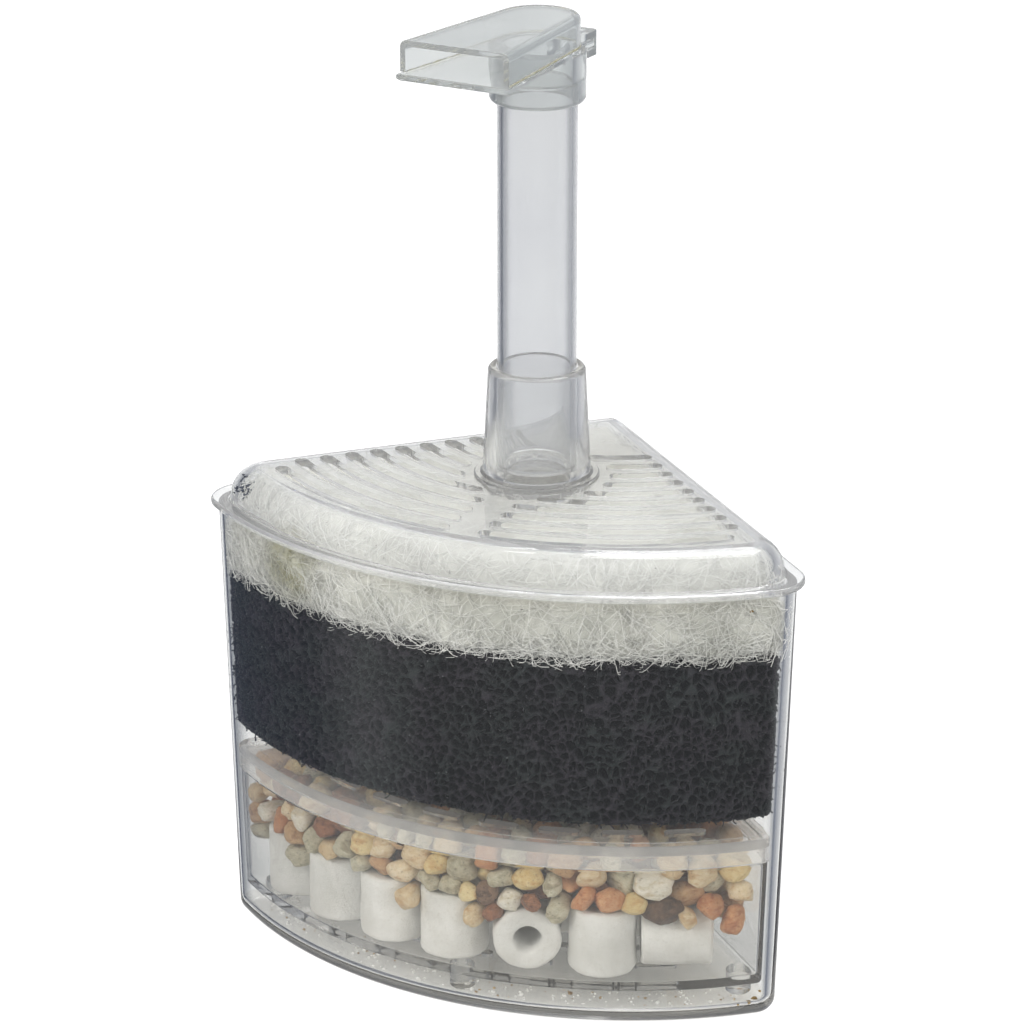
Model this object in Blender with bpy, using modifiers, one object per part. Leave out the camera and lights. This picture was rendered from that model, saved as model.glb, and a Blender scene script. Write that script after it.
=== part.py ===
"""Air-driven corner box filter for an aquarium, as separate solids.

Metres, +Z up. The origin is on the lift tube's axis at the plane the box stands on. The box is a
quarter disc in plan: its square back corner points to +Y and its round front to -Y.
"""

import math

import bmesh
import bpy
from mathutils import Vector

MM = 0.001
GAP = 0.3 * MM

# Box: a quarter disc about its back corner, narrower at the base so that it leaves the mould.
CORNER_Y = 47.5 * MM
BOX_RADIUS = 92.9 * MM
BACK_ROUND = 6.5 * MM
FRONT_ROUND = 7.0 * MM
BOX_HEIGHT = 92.0 * MM
BOX_DRAFT = 2.4 * MM
BOX_WALL = 2.0 * MM
BOX_FLOOR = 2.0 * MM
BASE_ROUND = 3.0 * MM

# Lid: a flange on the box's rim, a domed top with arc slots, and a socket for the lift tube.
FLANGE_LIP = 1.6 * MM
FLANGE_Z = BOX_HEIGHT + GAP
FLANGE_THICK = 1.5 * MM
DOME_INSET = 1.4 * MM
DOME_WALL = 2.0 * MM
DOME_ROUND = 5.0 * MM
LID_TOP = 100.7 * MM
LID_PLATE = 1.8 * MM
SKIRT_DROP = 1.4 * MM
SKIRT_INSET = BOX_WALL + 0.45 * MM
SLOT_CENTRE_Y = 42.0 * MM
SLOT_FRONT_RADIUS = 77.4 * MM
SLOT_PITCH = 5.4 * MM
SLOT_WIDTH = 2.8 * MM
SLOT_ROWS = 10
SLOT_EDGE = 3.9 * MM
FRONT_SLOT_CUT_BACK = 3.0 * MM
RIB_HALF = 3.1 * MM
RING_STEP_RADIUS = 12.75 * MM
RING_STEP_HEIGHT = 0.8 * MM
SOCKET_BASE_RADIUS = 11.0 * MM
SOCKET_TOP_RADIUS = 9.9 * MM
SOCKET_TOP = 123.9 * MM
SOCKET_RIM_ROUND = 0.9 * MM
SPIGOT_BOTTOM = 89.8 * MM
SPIGOT_RADIUS = 10.0 * MM

# Tubes
TUBE_RADIUS = 8.0 * MM
TUBE_BORE = 6.9 * MM
TUBE_SOCKET_BORE = TUBE_RADIUS + 0.25 * MM
RISER_BOTTOM = 103.5 * MM
RISER_TOP = 182.6 * MM
LEDGE_THICK = 2.0 * MM

# Spout: a flat flared duct made of a floor plate with a collar and a cover glued on it.
SPOUT_TURN = math.radians(-5.5)
COLLAR_RADIUS = 9.6 * MM
COLLAR_BOTTOM = 178.3 * MM
SPOUT_FLOOR = 188.0 * MM
SPOUT_PLATE = 1.3 * MM
SPOUT_TOP = 195.8 * MM
SPOUT_WALL = 1.2 * MM
SPOUT_EDGE = 1.3 * MM
SPOUT_BACK_RADIUS = 8.4 * MM
SPOUT_REACH = 32.2 * MM
SPOUT_HALF_MOUTH = 11.9 * MM
SPOUT_LIP = 0.7 * MM
LUG_REACH = 18.2 * MM
LUG_START = 8.0 * MM
LUG_HALF = 3.6 * MM
LUG_ROUND = 1.0 * MM
LUG_BOTTOM = 184.3 * MM
LUG_BORE = 1.2 * MM

# Inner tray with its slotted cover
TRAY_CLEARANCE = 0.85 * MM
TRAY_WALL = 1.4 * MM
TRAY_BASE = 6.5 * MM
TRAY_FLOOR = 8.0 * MM
TRAY_TOP = 36.4 * MM
TRAY_STEP_Z = 33.4 * MM
TRAY_STEP = 0.65 * MM
TRAY_FOOT_RADIUS = 2.6 * MM
TRAY_FEET = ((0.0, 30.5), (51.5, -15.5), (-51.5, -15.5), (0.0, -36.0))
COVER_SKIRT = 0.7 * MM
COVER_BOTTOM = 33.8 * MM
COVER_TOP = 38.9 * MM
COVER_PLATE = 1.4 * MM
COVER_RECESS = 0.8 * MM
COVER_ROUND = 0.7 * MM
COVER_RIM = 2.6 * MM
GRILLE_SLOT = (8.5 * MM, 2.2 * MM)
GRILLE_BAR = 4.0 * MM
GRILLE_CORE = 22.0 * MM
# (front row's radius about the back corner, row pitch, distance kept from the flat walls)
TRAY_GRILLE = (78.0 * MM, 7.5 * MM, 14.0 * MM)
COVER_GRILLE = (80.0 * MM, 6.5 * MM, 11.0 * MM)

# Filter media
RING_RADIUS = 7.05 * MM
RING_BORE = 2.7 * MM
RING_LENGTH = 14.6 * MM
RING_CHAMFER = 0.9 * MM
GRAVEL_BOTTOM = 23.4 * MM
GRAVEL_TOP = 36.2 * MM
SPONGE_BOTTOM = 43.4 * MM
SPONGE_TOP = 78.2 * MM
FLOSS_BOTTOM = 78.5 * MM
FLOSS_TOP = 98.5 * MM

ARC_STEPS = 20
FILLET_STEPS = 4
TURN_STEPS = 28


def clear_scene():
    for obj in list(bpy.data.objects):
        bpy.data.objects.remove(obj, do_unlink=True)


def collection(name):
    made = bpy.data.collections.new(name)
    bpy.context.scene.collection.children.link(made)
    return made


def material(name, colour, roughness, alpha=1.0, transmission=0.0):
    made = bpy.data.materials.new(name)
    made.use_nodes = True
    shader = made.node_tree.nodes["Principled BSDF"]
    shader.inputs["Base Color"].default_value = (*colour, 1.0)
    shader.inputs["Roughness"].default_value = roughness
    shader.inputs["Metallic"].default_value = 0.0
    shader.inputs["Alpha"].default_value = alpha
    shader.inputs["Transmission Weight"].default_value = transmission
    return made


def add_object(name, mesh, look, home):
    obj = bpy.data.objects.new(name, mesh)
    home.objects.link(obj)
    if look and not mesh.materials:
        mesh.materials.append(look)
    return obj


def arc(centre, radius, start, end, steps):
    """Points along an arc, both ends included; angles in radians, anticlockwise from +X."""
    angles = [start + (end - start) * i / steps for i in range(steps + 1)]
    return [centre + radius * Vector((math.cos(a), math.sin(a))) for a in angles]


def quadrant(inset):
    """The box's plan outline, offset inwards by inset: two straight sides, a round front and three fillets."""
    corner = Vector((0.0, CORNER_Y))
    back = corner - Vector((0.0, BACK_ROUND * math.sqrt(2)))
    reach = BOX_RADIUS - FRONT_ROUND
    turn = math.pi / 4 - math.asin(FRONT_ROUND / reach)
    fillet = max(FRONT_ROUND - inset, 0.4 * MM)
    back_fillet = max(BACK_ROUND - inset, 0.4 * MM)
    slack = fillet - (FRONT_ROUND - inset)
    back_slack = (back_fillet - (BACK_ROUND - inset)) * math.sqrt(2)
    front_angle = {side: -math.pi / 2 + side * turn for side in (-1, 1)}
    middle = {}
    for side in (-1, 1):
        middle[side] = corner + reach * Vector((math.cos(front_angle[side]), math.sin(front_angle[side])))
        middle[side] -= Vector((side * slack, -slack * 0.3))
    points = arc(back - Vector((0.0, back_slack)), back_fillet, math.pi / 4, 3 * math.pi / 4, FILLET_STEPS)
    points += arc(middle[-1], fillet, 3 * math.pi / 4, 2 * math.pi + front_angle[-1], FILLET_STEPS)
    sweep = arc(corner, BOX_RADIUS - inset, front_angle[-1], front_angle[1], ARC_STEPS)
    points += sweep[1:-1]
    points += arc(middle[1], fillet, front_angle[1], math.pi / 4, FILLET_STEPS)
    return points


def lofted(name, sections, look, home):
    """A closed body through stacked outlines of one point count; each section is (outline, z)."""
    shape = bmesh.new()
    rings = [[shape.verts.new((p.x, p.y, z)) for p in outline] for outline, z in sections]
    for low, high in zip(rings, rings[1:]):
        count = len(low)
        for i in range(count):
            j = (i + 1) % count
            shape.faces.new((low[i], low[j], high[j], high[i]))
    shape.faces.new(list(reversed(rings[0])))
    shape.faces.new(rings[-1])
    return finish_mesh(name, shape, look, home)


def finish_mesh(name, shape, look, home):
    bmesh.ops.recalc_face_normals(shape, faces=shape.faces)
    mesh = bpy.data.meshes.new(name)
    shape.to_mesh(mesh)
    shape.free()
    return add_object(name, mesh, look, home)


def rounded(radius, steps):
    """Pairs (inward, upward) along a quarter round that ends flat on top."""
    angles = [math.pi / 2 * i / steps for i in range(steps + 1)]
    return [(radius * (1 - math.cos(a)), radius * math.sin(a)) for a in angles]


def turned(name, profile, look, home, steps=TURN_STEPS, is_ring=False):
    """A turned body about Z. The profile is (radius, z) down the outer side, then up the bore if is_ring."""
    shape = bmesh.new()
    verts = [shape.verts.new((radius, 0.0, z)) for radius, z in profile]
    pairs = list(zip(verts, verts[1:]))
    if is_ring:
        pairs.append((verts[-1], verts[0]))
    for start, end in pairs:
        shape.edges.new((start, end))
    mesh = bpy.data.meshes.new(name)
    shape.to_mesh(mesh)
    shape.free()
    obj = add_object(name, mesh, look, home)
    screw = obj.modifiers.new("Screw", "SCREW")
    screw.axis = "Z"
    screw.angle = 2 * math.pi
    screw.steps = steps
    screw.render_steps = steps
    screw.use_merge_vertices = True
    screw.merge_threshold = 0.00001
    screw.use_smooth_shade = False
    return obj


def prism(shape, outline, low, high):
    """Adds one straight-sided block to a bmesh."""
    rings = [[shape.verts.new((p.x, p.y, z)) for p in outline] for z in (low, high)]
    count = len(outline)
    for i in range(count):
        j = (i + 1) % count
        shape.faces.new((rings[0][i], rings[0][j], rings[1][j], rings[1][i]))
    shape.faces.new(list(reversed(rings[0])))
    shape.faces.new(rings[1])


def as_cutter(obj):
    obj.hide_render = True
    obj.display_type = "WIRE"
    return obj


def boolean(obj, other, operation):
    step = obj.modifiers.new(operation.title() + "_" + other.name, "BOOLEAN")
    step.operation = operation
    step.solver = "EXACT"
    step.object = other


def cylinder_cutter(name, radius, low, high, home, steps=TURN_STEPS):
    profile = [(0.0, high), (radius, high), (radius, low), (0.0, low)]
    return as_cutter(turned(name, profile, None, home, steps))


# ---------------------------------------------------------------- box and lid


def box_inset(z):
    """How far the box's outer face stands in from its rim outline at height z."""
    return BOX_DRAFT * (1 - z / BOX_HEIGHT)


def make_box(look, home):
    sections = []
    for inward, upward in reversed(rounded(BASE_ROUND, 3)):
        z = BASE_ROUND - upward
        sections.append((quadrant(box_inset(z) + inward), z))
    sections.append((quadrant(0.0), BOX_HEIGHT))
    sections.append((quadrant(BOX_WALL), BOX_HEIGHT))
    inner_round = BASE_ROUND - 0.5 * BOX_FLOOR
    for inward, upward in rounded(inner_round, 2):
        z = BOX_FLOOR + inner_round - upward
        sections.append((quadrant(box_inset(z) + BOX_WALL + inward), z))
    lofted("outer_tub", sections, look, home)


def slot_outline(radius, start, end, width, steps):
    """A slot along an arc about the slots' centre, with rounded ends."""
    middle = Vector((0.0, SLOT_CENTRE_Y))
    half = width / 2
    nose = half * 0.8 / radius
    outer = arc(middle, radius + half, start + nose, end - nose, steps)
    inner = arc(middle, radius - half, end - nose, start + nose, steps)
    ends = [arc(middle, radius + side * half * 0.45, at, at, 1)[0]
            for at, side in ((end, 1), (end, -1), (start, -1), (start, 1))]
    return outer + ends[:2] + inner + ends[2:]


def slot_span(row):
    """(radius, start angle, end angle) of the slot on the +X side; None where the socket leaves no room."""
    radius = SLOT_FRONT_RADIUS - row * SLOT_PITCH
    edge = SLOT_EDGE + (FRONT_SLOT_CUT_BACK if row == 0 else 0.0)
    end = -math.pi / 4 - math.asin(edge / radius)
    start = -math.pi / 2 + math.asin(RIB_HALF / radius)
    clear = RING_STEP_RADIUS + 2.0 * MM
    # Angle at which this arc leaves the circle of radius `clear` about the socket.
    across = (radius ** 2 + SLOT_CENTRE_Y ** 2 - clear ** 2) / (2 * radius * SLOT_CENTRE_Y)
    if across < 1:
        start = max(start, -math.pi / 2 + math.acos(across))
    return radius, start, end


def make_lid_slots(home):
    shape = bmesh.new()
    for row in range(SLOT_ROWS):
        radius, start, end = slot_span(row)
        if (end - start) * radius < SLOT_WIDTH * 1.5:
            continue
        outline = slot_outline(radius, start, end, SLOT_WIDTH, 6 if row < 6 else 4)
        mirrored = [Vector((-p.x, p.y)) for p in reversed(outline)]
        for points in (outline, mirrored):
            prism(shape, points, LID_TOP - 6 * MM, LID_TOP + 2 * MM)
    return as_cutter(finish_mesh("lid_slots_cutter", shape, None, home))


def make_lid(look, home, cutters):
    underside = LID_TOP - LID_PLATE
    inner_inset = DOME_INSET + DOME_WALL
    inner_round = DOME_ROUND - DOME_WALL
    sections = []
    for inward, upward in reversed(rounded(inner_round, 2)):
        sections.append((quadrant(inner_inset + inward), underside - inner_round + upward))
    sections.append((quadrant(inner_inset), FLANGE_Z - SKIRT_DROP))
    sections.append((quadrant(SKIRT_INSET), FLANGE_Z - SKIRT_DROP))
    sections.append((quadrant(SKIRT_INSET), FLANGE_Z))
    sections.append((quadrant(-FLANGE_LIP), FLANGE_Z))
    sections.append((quadrant(-FLANGE_LIP), FLANGE_Z + FLANGE_THICK))
    sections.append((quadrant(DOME_INSET), FLANGE_Z + FLANGE_THICK))
    for inward, upward in rounded(DOME_ROUND, 4):
        sections.append((quadrant(DOME_INSET + inward), LID_TOP - DOME_ROUND + upward))
    lid = lofted("lid", sections, look, home)
    boss_profile = [
        (0.0, SOCKET_TOP), (SOCKET_TOP_RADIUS - SOCKET_RIM_ROUND, SOCKET_TOP),
        (SOCKET_TOP_RADIUS, SOCKET_TOP - SOCKET_RIM_ROUND), (SOCKET_BASE_RADIUS, LID_TOP + RING_STEP_HEIGHT),
        (RING_STEP_RADIUS, LID_TOP + RING_STEP_HEIGHT), (RING_STEP_RADIUS, LID_TOP - LID_PLATE / 2),
        (SPIGOT_RADIUS, LID_TOP - LID_PLATE / 2), (SPIGOT_RADIUS, SPIGOT_BOTTOM), (0.0, SPIGOT_BOTTOM)]
    boss = as_cutter(turned("lid_boss", boss_profile, None, cutters))
    ledge_top = RISER_BOTTOM - GAP
    bore_profile = [
        (0.0, SOCKET_TOP + MM), (TUBE_SOCKET_BORE, SOCKET_TOP + MM), (TUBE_SOCKET_BORE, ledge_top),
        (TUBE_BORE, ledge_top), (TUBE_BORE, ledge_top - LEDGE_THICK),
        (TUBE_SOCKET_BORE, ledge_top - LEDGE_THICK), (TUBE_SOCKET_BORE, SPIGOT_BOTTOM - MM),
        (0.0, SPIGOT_BOTTOM - MM)]
    bore = as_cutter(turned("lid_bore_cutter", bore_profile, None, cutters))
    boolean(lid, boss, "UNION")
    boolean(lid, bore, "DIFFERENCE")
    boolean(lid, make_lid_slots(cutters), "DIFFERENCE")


# ---------------------------------------------------------------- tubes and spout


def make_tube(name, low, high, look, home):
    profile = [(TUBE_RADIUS, high), (TUBE_RADIUS, low), (TUBE_BORE, low), (TUBE_BORE, high)]
    return turned(name, profile, look, home, is_ring=True)


def spout_outline(inset, reach):
    """Plan of the duct: a half-round back tangent to two flaring sides, cut off square at reach."""
    radius = SPOUT_BACK_RADIUS - inset
    span = math.hypot(SPOUT_REACH, SPOUT_HALF_MOUTH)
    mouth_angle = math.atan2(-SPOUT_REACH, SPOUT_HALF_MOUTH)
    tangent = mouth_angle + math.acos(SPOUT_BACK_RADIUS / span)
    normal = Vector((math.cos(tangent), math.sin(tangent)))
    along = Vector((normal.y, -normal.x))
    start = normal * radius
    front = start + along * ((reach + start.y) / -along.y)
    points = arc(Vector((0.0, 0.0)), radius, tangent, math.pi - tangent, 12)
    return points + [Vector((-front.x, front.y)), front]


def make_spout_cover(look, home, cutters):
    low = SPOUT_FLOOR + SPOUT_PLATE + GAP
    beyond = SPOUT_REACH + 8 * MM
    sections = [(spout_outline(0.0, beyond), low)]
    for inward, upward in rounded(SPOUT_EDGE, 2):
        sections.append((spout_outline(inward, beyond), SPOUT_TOP - SPOUT_EDGE + upward))
    cover = lofted("spout_cover", sections, look, home)
    hollow = lofted("spout_hollow_cutter", [
        (spout_outline(SPOUT_WALL, beyond + 4 * MM), low - MM),
        (spout_outline(SPOUT_WALL, beyond + 4 * MM), SPOUT_TOP - SPOUT_WALL - 0.5 * MM),
        (spout_outline(SPOUT_WALL + 0.5 * MM, beyond + 4 * MM), SPOUT_TOP - SPOUT_WALL)], None, cutters)
    trim_shape = bmesh.new()
    wide = SPOUT_HALF_MOUTH * 2
    corners = [(-wide, -beyond - 8 * MM), (wide, -beyond - 8 * MM), (wide, -SPOUT_REACH), (-wide, -SPOUT_REACH)]
    prism(trim_shape, [Vector(c) for c in corners], low - 2 * MM, SPOUT_TOP + 2 * MM)
    trim = finish_mesh("spout_trim_cutter", trim_shape, None, cutters)
    for cutter in (hollow, trim):
        boolean(cover, as_cutter(cutter), "DIFFERENCE")
    return cover, [hollow, trim]


def make_spout_base(look, home, cutters):
    top = SPOUT_FLOOR + SPOUT_PLATE
    reach = SPOUT_REACH + SPOUT_LIP
    plate = lofted("spout_base", [
        (spout_outline(0.3 * MM, reach - 0.3 * MM), SPOUT_FLOOR),
        (spout_outline(-SPOUT_LIP / 2, reach), SPOUT_FLOOR + 0.4 * MM),
        (spout_outline(-SPOUT_LIP / 2, reach), top)], look, home)
    collar_profile = [
        (0.0, SPOUT_FLOOR + 0.7 * MM), (COLLAR_RADIUS, SPOUT_FLOOR + 0.7 * MM),
        (COLLAR_RADIUS, COLLAR_BOTTOM + 1.2 * MM), (COLLAR_RADIUS - 0.4 * MM, COLLAR_BOTTOM + 0.4 * MM),
        (COLLAR_RADIUS - 1.3 * MM, COLLAR_BOTTOM), (0.0, COLLAR_BOTTOM)]
    collar = as_cutter(turned("spout_collar", collar_profile, None, cutters))
    lug_shape = bmesh.new()
    nose = LUG_HALF - LUG_ROUND
    shoulder = LUG_REACH - LUG_ROUND
    lug_plan = [Vector((LUG_HALF, LUG_START)), Vector((LUG_HALF, shoulder)), Vector((nose, LUG_REACH)),
                Vector((-nose, LUG_REACH)), Vector((-LUG_HALF, shoulder)), Vector((-LUG_HALF, LUG_START))]
    prism(lug_shape, lug_plan, LUG_BOTTOM, top)
    lug = as_cutter(finish_mesh("spout_lug", lug_shape, None, cutters))
    bore_profile = [
        (0.0, top + MM), (TUBE_BORE, top + MM), (TUBE_BORE, RISER_TOP + GAP),
        (TUBE_SOCKET_BORE, RISER_TOP + GAP), (TUBE_SOCKET_BORE, COLLAR_BOTTOM - MM), (0.0, COLLAR_BOTTOM - MM)]
    bore = as_cutter(turned("spout_bore_cutter", bore_profile, None, cutters))
    air_hole = cylinder_cutter("air_hole_cutter", LUG_BORE, 0.0, LUG_REACH, cutters, 10)
    air_hole.rotation_euler = (-math.pi / 2, 0.0, 0.0)
    air_hole.location = (0.0, 2 * MM, (LUG_BOTTOM + SPOUT_FLOOR) / 2)
    for other, operation in ((collar, "UNION"), (lug, "UNION"), (bore, "DIFFERENCE"), (air_hole, "DIFFERENCE")):
        boolean(plate, other, operation)
    return plate, [collar, lug, bore, air_hole]


def make_spout(look, home, cutters):
    """Both halves hang on an empty on the tube's axis, turned a little to one side."""
    pivot = bpy.data.objects.new("spout_pivot", None)
    home.objects.link(pivot)
    for piece, helpers in (make_spout_cover(look, home, cutters), make_spout_base(look, home, cutters)):
        for obj in [piece, *helpers]:
            obj.parent = pivot
    pivot.rotation_euler = (0.0, 0.0, SPOUT_TURN)


# ---------------------------------------------------------------- inner tray


def tray_inset(z):
    return box_inset(z) + BOX_WALL + TRAY_CLEARANCE


def grille_cutter(name, low, high, rows, home):
    """Short straight slots in rows about the back corner, leaving the down tube's hole clear."""
    length, width = GRILLE_SLOT
    radius, pitch, edge = rows
    step = length + GRILLE_BAR
    shape = bmesh.new()
    while radius > GRILLE_CORE:
        span = math.pi / 4 - math.asin(edge / radius)
        count = int(2 * span * radius / step)
        for i in range(count):
            angle = -math.pi / 2 + (i - (count - 1) / 2) * step / radius
            out = Vector((math.cos(angle), math.sin(angle)))
            side = Vector((-out.y, out.x))
            middle = Vector((0.0, CORNER_Y)) + out * radius
            if middle.length < TUBE_RADIUS + 7.5 * MM:
                continue
            corners = [middle + out * x * width / 2 + side * y * length / 2
                       for x, y in ((1, -1), (1, 1), (-1, 1), (-1, -1))]
            prism(shape, corners, low, high)
        radius -= pitch
    return as_cutter(finish_mesh(name, shape, None, home))


def make_tray(look, home, cutters):
    sections = [
        (quadrant(tray_inset(TRAY_BASE) + 0.8 * MM), TRAY_BASE),
        (quadrant(tray_inset(TRAY_BASE)), TRAY_BASE + 0.8 * MM),
        (quadrant(tray_inset(TRAY_STEP_Z)), TRAY_STEP_Z),
        (quadrant(tray_inset(TRAY_STEP_Z) + TRAY_STEP), TRAY_STEP_Z),
        (quadrant(tray_inset(TRAY_TOP) + TRAY_STEP), TRAY_TOP),
        (quadrant(tray_inset(TRAY_TOP) + TRAY_WALL), TRAY_TOP),
        (quadrant(tray_inset(TRAY_FLOOR) + TRAY_WALL), TRAY_FLOOR)]
    tray = lofted("tray", sections, look, home)
    foot_low = BOX_FLOOR + GAP
    for number, (across, along) in enumerate(TRAY_FEET):
        profile = [(0.0, TRAY_BASE + 0.7 * MM), (TRAY_FOOT_RADIUS, TRAY_BASE + 0.7 * MM),
                   (TRAY_FOOT_RADIUS, foot_low), (0.0, foot_low)]
        foot = as_cutter(turned(f"tray_foot_{number}", profile, None, cutters, 12))
        foot.location = (across * MM, along * MM, 0.0)
        boolean(tray, foot, "UNION")
    boolean(tray, cylinder_cutter("tray_hole_cutter", TUBE_RADIUS + GAP, 0.0, 12 * MM, cutters), "DIFFERENCE")
    grille = grille_cutter("tray_grille_cutter", TRAY_BASE - MM, TRAY_FLOOR + MM, TRAY_GRILLE, cutters)
    boolean(tray, grille, "DIFFERENCE")


def make_tray_cover(look, home, cutters):
    inner = tray_inset(COVER_BOTTOM) + TRAY_STEP - GAP
    outer = inner - COVER_SKIRT
    under = COVER_TOP - COVER_RECESS - COVER_PLATE
    sections = [
        (quadrant(inner), under),
        (quadrant(inner), COVER_BOTTOM),
        (quadrant(outer), COVER_BOTTOM),
        (quadrant(outer), COVER_TOP - COVER_ROUND),
        (quadrant(outer + COVER_ROUND), COVER_TOP),
        (quadrant(outer + COVER_RIM), COVER_TOP),
        (quadrant(outer + COVER_RIM + GAP), COVER_TOP - COVER_RECESS)]
    cover = lofted("tray_cover", sections, look, home)
    hole = cylinder_cutter("cover_hole_cutter", TUBE_RADIUS + GAP, under - MM, COVER_TOP + MM, cutters)
    boolean(cover, hole, "DIFFERENCE")
    grille = grille_cutter("cover_grille_cutter", under - MM, COVER_TOP + MM, COVER_GRILLE, cutters)
    boolean(cover, grille, "DIFFERENCE")


# ---------------------------------------------------------------- filter media


def ring_places():
    """(position, axis direction) of each ceramic ring on the tray's floor."""
    upright = Vector((0.0, 0.0, 1.0))
    stand = TRAY_FLOOR + GAP + RING_LENGTH / 2
    lie = TRAY_FLOOR + GAP + RING_RADIUS
    corner = Vector((0.0, CORNER_Y))

    def spot(degrees, radius, height):
        angle = math.radians(degrees - 90)
        plan = corner + radius * Vector((math.cos(angle), math.sin(angle)))
        return Vector((plan.x, plan.y, height))

    def outward(degrees):
        angle = math.radians(degrees - 90)
        return Vector((math.cos(angle), math.sin(angle), 0.0))

    front = BOX_RADIUS - tray_inset(TRAY_FLOOR) - TRAY_WALL - RING_RADIUS - 0.5 * MM
    places = [(spot(degrees, front, stand), upright) for degrees in (-34.2, -23.7, -13.2, -2.7, 19.7)]
    places.append((spot(8.3, front - 1.5 * MM, lie), outward(24.3)))
    places.append((spot(30.5, front - 1.2 * MM, lie), Vector((0.911, 0.411, 0.0))))
    places += [(spot(degrees, 60 * MM, stand), upright) for degrees in (-25.0, -10.4, 10.4, 25.0)]
    places += [(spot(degrees, 45.4 * MM, stand), upright) for degrees in (-22.0, 22.0)]
    places.append((spot(0, 31.2 * MM, stand), upright))
    return places


def make_rings(look, home):
    half = RING_LENGTH / 2
    profile = [
        (RING_RADIUS - RING_CHAMFER, half), (RING_RADIUS, half - RING_CHAMFER),
        (RING_RADIUS, -half + RING_CHAMFER), (RING_RADIUS - RING_CHAMFER, -half),
        (RING_BORE, -half), (RING_BORE, half)]
    for number, (place, direction) in enumerate(ring_places(), 1):
        ring = turned(f"ceramic_ring_{number:02d}", profile, look, home, 16, is_ring=True)
        ring.location = place
        ring.rotation_euler = direction.to_track_quat("Z", "Y").to_euler()


def make_media_block(name, sections, hole_radius, look, home, cutters):
    block = lofted(name, sections, look, home)
    low, high = sections[0][1] - 5 * MM, sections[-1][1] + 5 * MM
    boolean(block, cylinder_cutter(name + "_hole_cutter", hole_radius, low, high, cutters, 20), "DIFFERENCE")


def make_gravel(look, home, cutters):
    edge = tray_inset(GRAVEL_BOTTOM) + TRAY_WALL + 0.4 * MM
    sections = [
        (quadrant(edge + 2 * MM), GRAVEL_BOTTOM),
        (quadrant(edge), GRAVEL_BOTTOM + 2 * MM),
        (quadrant(edge), GRAVEL_TOP - 3 * MM),
        (quadrant(edge + 3 * MM), GRAVEL_TOP)]
    make_media_block("gravel_bed", sections, TUBE_RADIUS + 0.5 * MM, look, home, cutters)


def make_sponge(look, home, cutters):
    edge = BOX_WALL + 0.5 * MM
    sections = [
        (quadrant(box_inset(SPONGE_BOTTOM) + edge + 0.8 * MM), SPONGE_BOTTOM),
        (quadrant(box_inset(SPONGE_BOTTOM) + edge), SPONGE_BOTTOM + MM),
        (quadrant(box_inset(SPONGE_TOP) + edge), SPONGE_TOP - MM),
        (quadrant(box_inset(SPONGE_TOP) + edge + 0.8 * MM), SPONGE_TOP)]
    make_media_block("sponge_block", sections, TUBE_RADIUS + GAP, look, home, cutters)


def make_floss(look, home, cutters):
    low_edge = box_inset(FLOSS_BOTTOM) + BOX_WALL + 0.4 * MM
    skirt_low = FLANGE_Z - SKIRT_DROP
    dome_edge = DOME_INSET + DOME_WALL + 0.4 * MM
    sections = [
        (quadrant(low_edge + MM), FLOSS_BOTTOM),
        (quadrant(low_edge), FLOSS_BOTTOM + 1.5 * MM),
        (quadrant(BOX_WALL + 0.5 * MM), skirt_low - 2 * MM),
        (quadrant(dome_edge), skirt_low - 0.5 * MM),
        (quadrant(dome_edge), FLOSS_TOP - 3.6 * MM),
        (quadrant(dome_edge + 3.6 * MM), FLOSS_TOP)]
    make_media_block("floss_pad", sections, SPIGOT_RADIUS + 0.5 * MM, look, home, cutters)


def main():
    clear_scene()
    parts = collection("corner_filter")
    cutters = collection("cutters")
    clear_plastic = material("clear_plastic", (0.86, 0.88, 0.88), 0.08, alpha=0.35, transmission=0.9)
    tube_plastic = material("tube_plastic", (0.80, 0.80, 0.86), 0.06, alpha=0.40, transmission=0.9)
    ceramic = material("white_ceramic", (0.90, 0.89, 0.86), 0.85)
    gravel = material("river_gravel", (0.66, 0.52, 0.36), 0.6)
    foam = material("black_foam", (0.02, 0.022, 0.024), 0.9)
    floss = material("white_floss", (0.86, 0.86, 0.82), 0.9)
    make_box(clear_plastic, parts)
    make_lid(clear_plastic, parts, cutters)
    make_tube("riser_tube", RISER_BOTTOM, RISER_TOP, tube_plastic, parts)
    make_tube("down_tube", TRAY_BASE - 2.5 * MM, RISER_BOTTOM - 2 * GAP - LEDGE_THICK, tube_plastic, parts)
    make_spout(clear_plastic, parts, cutters)
    make_tray(clear_plastic, parts, cutters)
    make_tray_cover(clear_plastic, parts, cutters)
    make_rings(ceramic, parts)
    make_gravel(gravel, parts, cutters)
    make_sponge(foam, parts, cutters)
    make_floss(floss, parts, cutters)


main()
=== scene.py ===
"""Looks for the air-driven corner filter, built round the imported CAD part.

Everything is in the part's frame: metres, +Z up, origin on the lift tube's axis, +Y to the box's square
back corner. The clear mouldings are remade with finer curves from the sizes of the CAD nodes; foam, floss,
pebbles and ceramic rings are modelled one by one.
"""

import math
import random

import bmesh
import bpy
import numpy as np
from mathutils import Matrix, Vector, noise


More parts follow.
